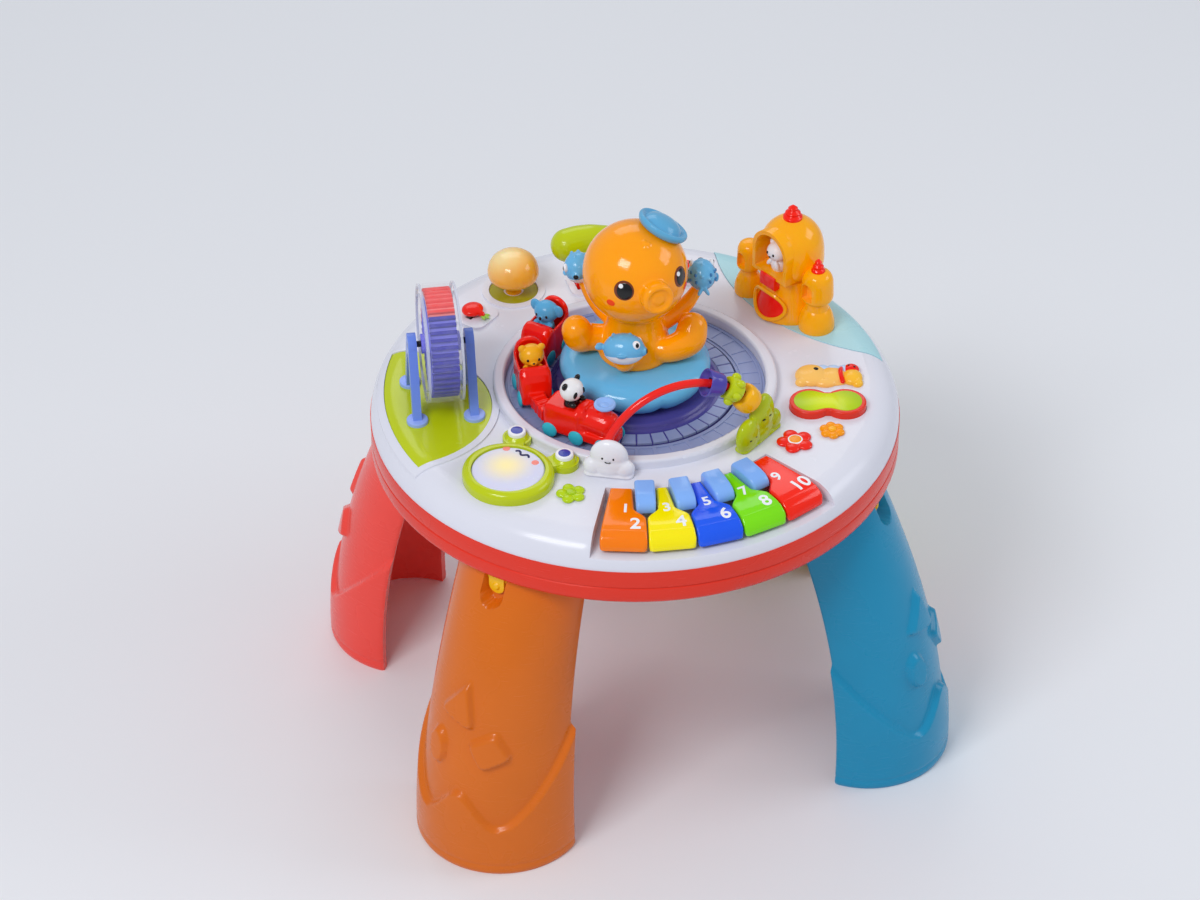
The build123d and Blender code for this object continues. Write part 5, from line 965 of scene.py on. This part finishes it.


# ---- Push light, lever, switch and rear button --------------------------------------------
# Mushroom in milky amber with a painted highlight, over a lime disc darkened to olive
# by painted shade, lime lever grip on a red stem with a black dot of painted shade for
# its hole, red radish switch and a red oval button, each a hollow moulding sprung or
# pinned in the deck.
def colour_fade():
    """Node group: one colour at a point of the table, run out to another at its reach."""
    group = bpy.data.node_groups.new("fade", "ShaderNodeTree")
    for name, kind in (("Centre", "NodeSocketVector"), ("Reach", "NodeSocketFloat"),
                       ("Inner", "NodeSocketColor"), ("Outer", "NodeSocketColor")):
        group.interface.new_socket(name, in_out="INPUT", socket_type=kind)
    group.interface.new_socket("Colour", in_out="OUTPUT", socket_type="NodeSocketColor")
    tree, link = group.nodes, group.links.new
    given, out = tree.new("NodeGroupInput"), tree.new("NodeGroupOutput")
    away = tree.new("ShaderNodeVectorMath")
    away.operation = "DISTANCE"
    link(tree.new("ShaderNodeTexCoord").outputs["Object"], away.inputs[0])
    link(given.outputs["Centre"], away.inputs[1])
    span = tree.new("ShaderNodeMapRange")
    span.interpolation_type = "SMOOTHSTEP"
    link(away.outputs["Value"], span.inputs["Value"])
    link(given.outputs["Reach"], span.inputs["From Max"])
    blend = tree.new("ShaderNodeMix")
    blend.data_type = "RGBA"
    link(span.outputs["Result"], blend.inputs["Factor"])
    link(given.outputs["Inner"], blend.inputs["A"])
    link(given.outputs["Outer"], blend.inputs["B"])
    link(blend.outputs["Result"], out.inputs["Colour"])
    return group


FADE = colour_fade()


def faded(name, inner, outer, centre, reach, **gloss):
    """A finish whose colour runs from one to another away from a point of the table."""
    material = finish(name, inner, **gloss)
    tree = material.node_tree
    fade = tree.nodes.new("ShaderNodeGroup")
    fade.node_tree = FADE
    fade.inputs["Centre"].default_value = [value * mm for value in centre]
    fade.inputs["Reach"].default_value = reach * mm
    fade.inputs["Inner"].default_value = linear(*inner)
    fade.inputs["Outer"].default_value = linear(*outer)
    surface = next(node for node in tree.nodes if node.type == "GROUP" and node.node_tree == SURFACE)
    tree.links.new(fade.outputs["Colour"], surface.inputs["Colour"])
    return material


mushroom_at = spot(165, 109)
# The cap runs from cream near its top left out to amber: the cream is a painted highlight.
mushroom_painted_highlight = faded("mushroom_amber", (1.0, 0.90, 0.66), (0.99, 0.68, 0.16),
                      mushroom_at @ Vector((6, 8, 352)), 34, roughness=0.12, coat=0.6, through=0.3)
amber = finish("stem_amber", (0.97, 0.66, 0.04), roughness=0.16, coat=0.5, through=0.2)
# The lime disc under the cap is darkened to olive: painted shade.
shaded_lime = finish("shaded_lime_disc", (0.62, 0.60, 0.05), roughness=0.45, coat=0.0, drift=0.12, peel=0.5)
dome = turned(((7, 323.6), (12, 323.2), (17, 324.0), (20.2, 326.8), (21.4, 330.4), (21.4, 334.2),
               (20.2, 339.2), (17.8, 343.4), (14.0, 346.8), (9.2, 349.0), (4.5, 349.8), (0.1, 350)), 72)
stem = turned(((6.6, 310), (6.5, 320), (6.9, 322.6), (8.4, 324.2), (3, 324.4)), 40)
plate = turned_ring(((20.4, 311.6), (20.4, 312.35), (20.0, 312.5), (8.4, 312.5), (8.4, 311.6)), 80)
rim = turned_ring(((25.4, 311.8), (25.2, 312.5), (24.4, 312.8), (23.6, 312.5), (23.4, 311.8)), 96)
solid("mushroom_cap", [dome], "mushroom", mushroom_painted_highlight, ["mushroom_dome"], at=mushroom_at)
solid("mushroom_stem", [stem], "mushroom", amber, at=mushroom_at)
solid("shaded_lime_plate", [plate], "table", shaded_lime, at=mushroom_at)
solid("mushroom_ring", [rim], "table", deck_white, at=mushroom_at)

button_red = finish("button_red", (0.96, 0.11, 0.04), roughness=0.14, coat=0.5)
dress(button_red, "rear_button", "lever_stem", edge=2.0)
grip_at = spot(146, 87.5, 356)
grip = limb([(0, 15.5, -1.6, 14.2), (0, 6, -0.6, 14.2), (0, -5, 0.4, 12.8), (0, -15, 0.4, 10.6),
             (0, -22, 0.2, 9.0)])
fused("grip", grip, 0.7, 2, "lever", lime, ["lever_grip"], at=grip_at)
# A black dot stands for the grip's hole: painted shade.
solid("grip_hole", [ball((0, -8, 11.2), (1.7, 1.7, 0.8), sides=16)], "lever", black_ink_and_shade, at=grip_at)

radish_at = spot(163, 126, 318.3)
radish = [ball((1.2, 0, 0), (8.8, 9.6, 4.1))]
radish += limb([(0, 0, 0, 3.6), (-6, 0, -0.4, 3.0), (-9.0, 0, -1.2, 2.2)])
fused("radish", radish, 0.5, 3, "switch", button_red, ["switch_knob"], at=radish_at)
leaf_green = finish("leaf_green", (0.62, 0.80, 0.32), roughness=0.3)
leaves = [ball((-11.2 - k, s * 2.2, -2.0), (3.4, 1.5, 0.9), Matrix.Rotation(-0.5 * s, 4, "Z"), 16)
          for s, k in ((-1, 0), (1, 0), (0, 1.4))]
solid("radish_leaf", leaves, "switch", leaf_green, at=radish_at)


# ---- Song button, animal and flowers --------------------------------------------------------
# Peanut-shaped red plate with a lime inlay, a tan puppy that lies beside it, and three
# flowers, one of which is a button; all moulded in their own colour and pad printed.
def flat_outline(outline, low, high, corner):
    """A flat piece under an outline in x and y, its top edge rounded."""
    points = [Vector(point) for point in outline]
    centre = sum(points, Vector((0, 0))) / len(points)
    inward = [(centre - point) / max(1, (centre - point).length) for point in points]
    return skin([[(*(point + way * inset), height) for point, way in zip(points, inward)]
                 for inset, height in ((0, low), (0, high - corner), (0.3 * corner, high - 0.3 * corner),
                                       (corner, high))])


def peanut(lobe, apart, waist):
    """Two round lobes along Y, drawn in at the waist."""
    outline = []
    for a in (2 * pi * k / 72 for k in range(72)):
        y = (apart + lobe) * sin(a)
        reach = max(0.0, lobe ** 2 - max(0.0, abs(y) - apart) ** 2) ** 0.5
        pinch = waist + (1 - waist) * ease(abs(y) / apart)
        outline.append((reach * pinch * (1 if cos(a) >= 0 else -1), y))
    return outline


song_at = spot(158, -30.5, 0, 101.5)
dress(case_red, "song_plate", edge=0.8)
lime_inlay = faded("lime_inlay", (0.86, 0.92, 0.10), (0.66, 0.80, 0.08), song_at @ Vector((0, 0, 318)), 30,
                   roughness=0.3, coat=0.2)
inlay = flat_outline(peanut(13.4, 14, 0.72), 316, 318.35, 0.3)
solid("song_inlay", [inlay], "song_press", lime_inlay, at=song_at)

puppy_at = spot(160, -17.5, 0, -91.5) @ Matrix.Translation((-4, 0, 0))
puppy_tan = finish("animal_tan", (1.0, 0.78, 0.40), roughness=0.22, coat=0.3)
puppy_blue = finish("animal_back", (0.74, 0.84, 0.97), roughness=0.25, coat=0.3)
puppy_amber = finish("animal_hind", (1.0, 0.76, 0.20), roughness=0.22, coat=0.3)
puppy = [ball((0, -17, 313.8), (13.4, 13.4, 6.0)), ball((8.5, -25, 313.2), (4.8, 5.4, 4.2)),
         ball((0, 0, 313.4), (10.5, 12, 5.0)), ball((9, -6, 313), (5.4, 9, 4.0)),
         ball((0, -2, 312.6), (12, 21, 3.0))]
backs = [ball((-8, -8 + 9 * k, 313.4), (5.6, 6.4, 4.0)) for k in range(3)]
hind = [ball((2, 16, 313.6), (9.6, 8.4, 5.0)), ball((9, 20, 313), (5.0, 4.6, 3.8))]
collar = limb([(x, 6.4 + 0.02 * x * x, 317.6 - 0.035 * x * x, 1.9) for x in range(-9, 10, 3)],
              sides=12, steps=2)
patch = ball((-7.5, 15.5, 314.6), (6.4, 6.6, 4.0))
dots = [ball((x, y, z), (size, size, 0.8), sides=14)
        for x, y, z, size in ((-2.0, -13.5, 319.3, 2.2), (-8.5, 13.5, 318.3, 0.9), (-6.5, 18.0, 318.2, 0.9))]
fused("puppy", puppy, 0.6, 2, "table", puppy_tan, ["song_animal"], at=puppy_at)
solid("puppy_back", backs, "table", puppy_blue, at=puppy_at)
solid("puppy_hind", hind, "table", puppy_amber, at=puppy_at)
solid("puppy_collar", collar + [patch], "table", button_red, at=puppy_at)
solid("puppy_eye", dots, "table", black_ink_and_shade, at=puppy_at)


def blossom(name, place, size, petals, body, colour, heart, stands_for=(), ringed=False):
    """A flower of round petals with a domed heart, which may lie in a pale ring."""
    petal_tint = finish(name + "_petals", colour, roughness=0.18, coat=0.5)
    heart_tint = finish(name + "_heart_tint", heart, roughness=0.2, coat=0.4)
    reach, half = size * 0.60, size * 0.40
    parts = [ball((reach * cos(a), reach * sin(a), 1.2), (half, half, 2.6), sides=24)
             for a in (2 * pi * k / petals for k in range(petals))]
    parts += [disc(size * 0.62, 0, 2.8, 0.8, 32)]
    fused(name, parts, 0.4, 1, body, petal_tint, stands_for, at=place)
    if ringed:
        solid(name + "_ring", [disc(half, 2.0, 3.5, 0.4, 32)], body, ink_white, at=place)
    solid(name + "_heart", [disc(size * 0.33, 2.0, 3.9, 0.8, 32)], body, heart_tint, at=place)


flower_z = 312.2
blossom("red_blossom", spot(150, -51, flower_z), 15, 5, "flower_press", (0.96, 0.13, 0.06),
        (0.98, 0.60, 0.05), ["flower_red"], ringed=True)
blossom("orange_blossom", spot(170, -41.5, flower_z), 10.5, 6, "table", (1.0, 0.62, 0.02), (1.0, 0.70, 0.05),
        ["small_flowers"])
blossom("lime_blossom", spot(156, -127.5, flower_z), 12, 5, "table", (0.72, 0.84, 0.05), (0.66, 0.80, 0.05))


# ---- Frog drum ------------------------------------------------------------------------
# Lime rim with two eye mounds, seated in the deck, round a milky drum skin that is
# pressed and lit from below; eyes and face are pad printed.
dress(lime, "frog_rim", edge=0.8)
drum_milky = faded("drum_milky", (1.0, 0.93, 0.66), (0.82, 0.83, 0.93),
                   spot(158, -148.7) @ Vector((0, 0, 320)), 27, roughness=0.2, coat=0.4, through=0.2,
                   glow=0.03)
dress(drum_milky, "frog_drum", edge=1.2)
eye_places = [spot(161, -147) @ Matrix.Translation((47 * cos(a), 47 * sin(a), 0))
              for a in (radians(149), radians(211))]
whites = [moved(disc(7.2, 320, 324.3, 0.8), place) for place in eye_places]
irises = [moved(disc(5.0, 321, 324.39, 0.3, 36), place) for place in eye_places]
iris_blue = finish("iris_blue", (0.22, 0.28, 0.68), roughness=0.15, coat=0.6, wear=0.0)
solid("frog_whites", whites, "table", ink_white)
solid("frog_irises", irises, "table", iris_blue)
cheek_pink = finish("cheek_pink", (0.98, 0.55, 0.50), roughness=0.3)
cheek = disc(3.0, 319.6, 320.95, 0.15, 28)
for side, place in (("left", spot(142.1, -154.4)), ("right", spot(141.5, -142.5))):
    solid("frog_cheek_" + side, [cheek], "drum_press", cheek_pink, at=place)
mouth_blue = finish("mouth_blue", (0.12, 0.12, 0.34), roughness=0.3, wear=0.0)
mouth = limb([(1.5 * sin(radians(a * 3 + 90)), a / 90 * 6.4, 320.7, 0.95) for a in range(-90, 91, 12)],
             sides=8, steps=3)
solid("frog_mouth", mouth, "drum_press", mouth_blue, at=spot(138.8, -148.5))


# ---- Castle -----------------------------------------------------------------------
# Yellow one-piece tower with two turrets on a pale panel; red door, red finials and a
# white kitten in the window are seated in it.
# The yellow's faint emission is painted light that brightens the castle.
castle_yellow = finish("castle_yellow", (1.0, 0.68, 0.0), roughness=0.16, coat=0.5, through=0.12, glow=0.04)
dress(castle_yellow, "castle_body", edge=1.2)
trim_red = finish("trim_red", (1.0, 0.12, 0.03), roughness=0.16, coat=0.4)
dress(trim_red, "castle_trim", edge=0.5)
castle_at = spot(169, 21.4, 312.8)
kitten_white = finish("kitten_white", (0.95, 0.95, 0.97), roughness=0.25)
kitten = [ball((-16, 0, 61), (8.6, 9.0, 8.2)), ball((-14.5, 0, 48), (6.0, 7.0, 8.5))]
kitten += pair((-15.5, 6.6, 67), (1.9, 2.5, 2.6), "Y", -0.4, "X", sides=18)
kitten += pair((-20.5, 4.4, 50.5), (2.2, 1.9, 4.0), "Y", 0.5, "X", sides=16)
fused("kitten", kitten, 0.5, 2, "table", kitten_white, ["castle_kitten"], at=castle_at)
kitten_face = pair((-23.9, 3.4, 61.5), (0.8, 1.0, 1.3), "Y", sides=12)
kitten_face += [ball((-24.7, 0, 59.0), (0.6, 1.0, 0.7), sides=12)]
solid("kitten_face", kitten_face, "table", black_ink_and_shade, at=castle_at)
crown = [ball((-13.5, y, 71.5 - abs(y) * 0.3), (1.6, 1.5, 3.4), sides=14) for y in (-3, 0, 3)]
solid("kitten_crown", crown, "table", castle_yellow, at=castle_at)
pane = straight_bar(-8.6, 8.6, -3.2, 3.2, 0, 12.0, top=1.6, foot=1.6)
solid("neck_pane", [pane], "table", trim_red, at=castle_at @ Matrix.Translation((-23.6, 0, 29.5)))


def oval_frame(width, height, thick, out, low):
    """A raised oval rim on the tower's front, tilted with its wall."""
    rings = []
    for a in (2 * pi * n / 48 for n in range(48)):
        y, z = width * cos(a), low + height + height * sin(a)
        middle = Vector((-((out - 0.13 * z) ** 2 - y * y) ** 0.5, y, z))
        rings.append([middle + Vector((-cos(b), cos(a) * sin(b), sin(a) * sin(b))) * thick
                      for b in (2 * pi * k / 10 for k in range(10))])
    return hoop(rings)


door_frame = oval_frame(18.2, 12.4, 1.7, 30.6, 1.4)
solid("door_frame", [door_frame], "table", castle_yellow, at=castle_at)
for side, x, y, wide in (("near", -4.0, -36.5, 13.3), ("far", -12.0, 38.0, 10.5)):
    skirt = turned([(wide + more, height) for more, height in ((1.4, 0), (1.9, 3), (1.5, 8), (-0.2, 14),
                                                               (-2.6, 19), (-5, 21))], 56)
    solid("turret_skirt_" + side, [skirt], "table", castle_yellow,
          at=castle_at @ Matrix.Translation((x, y, -0.4)))
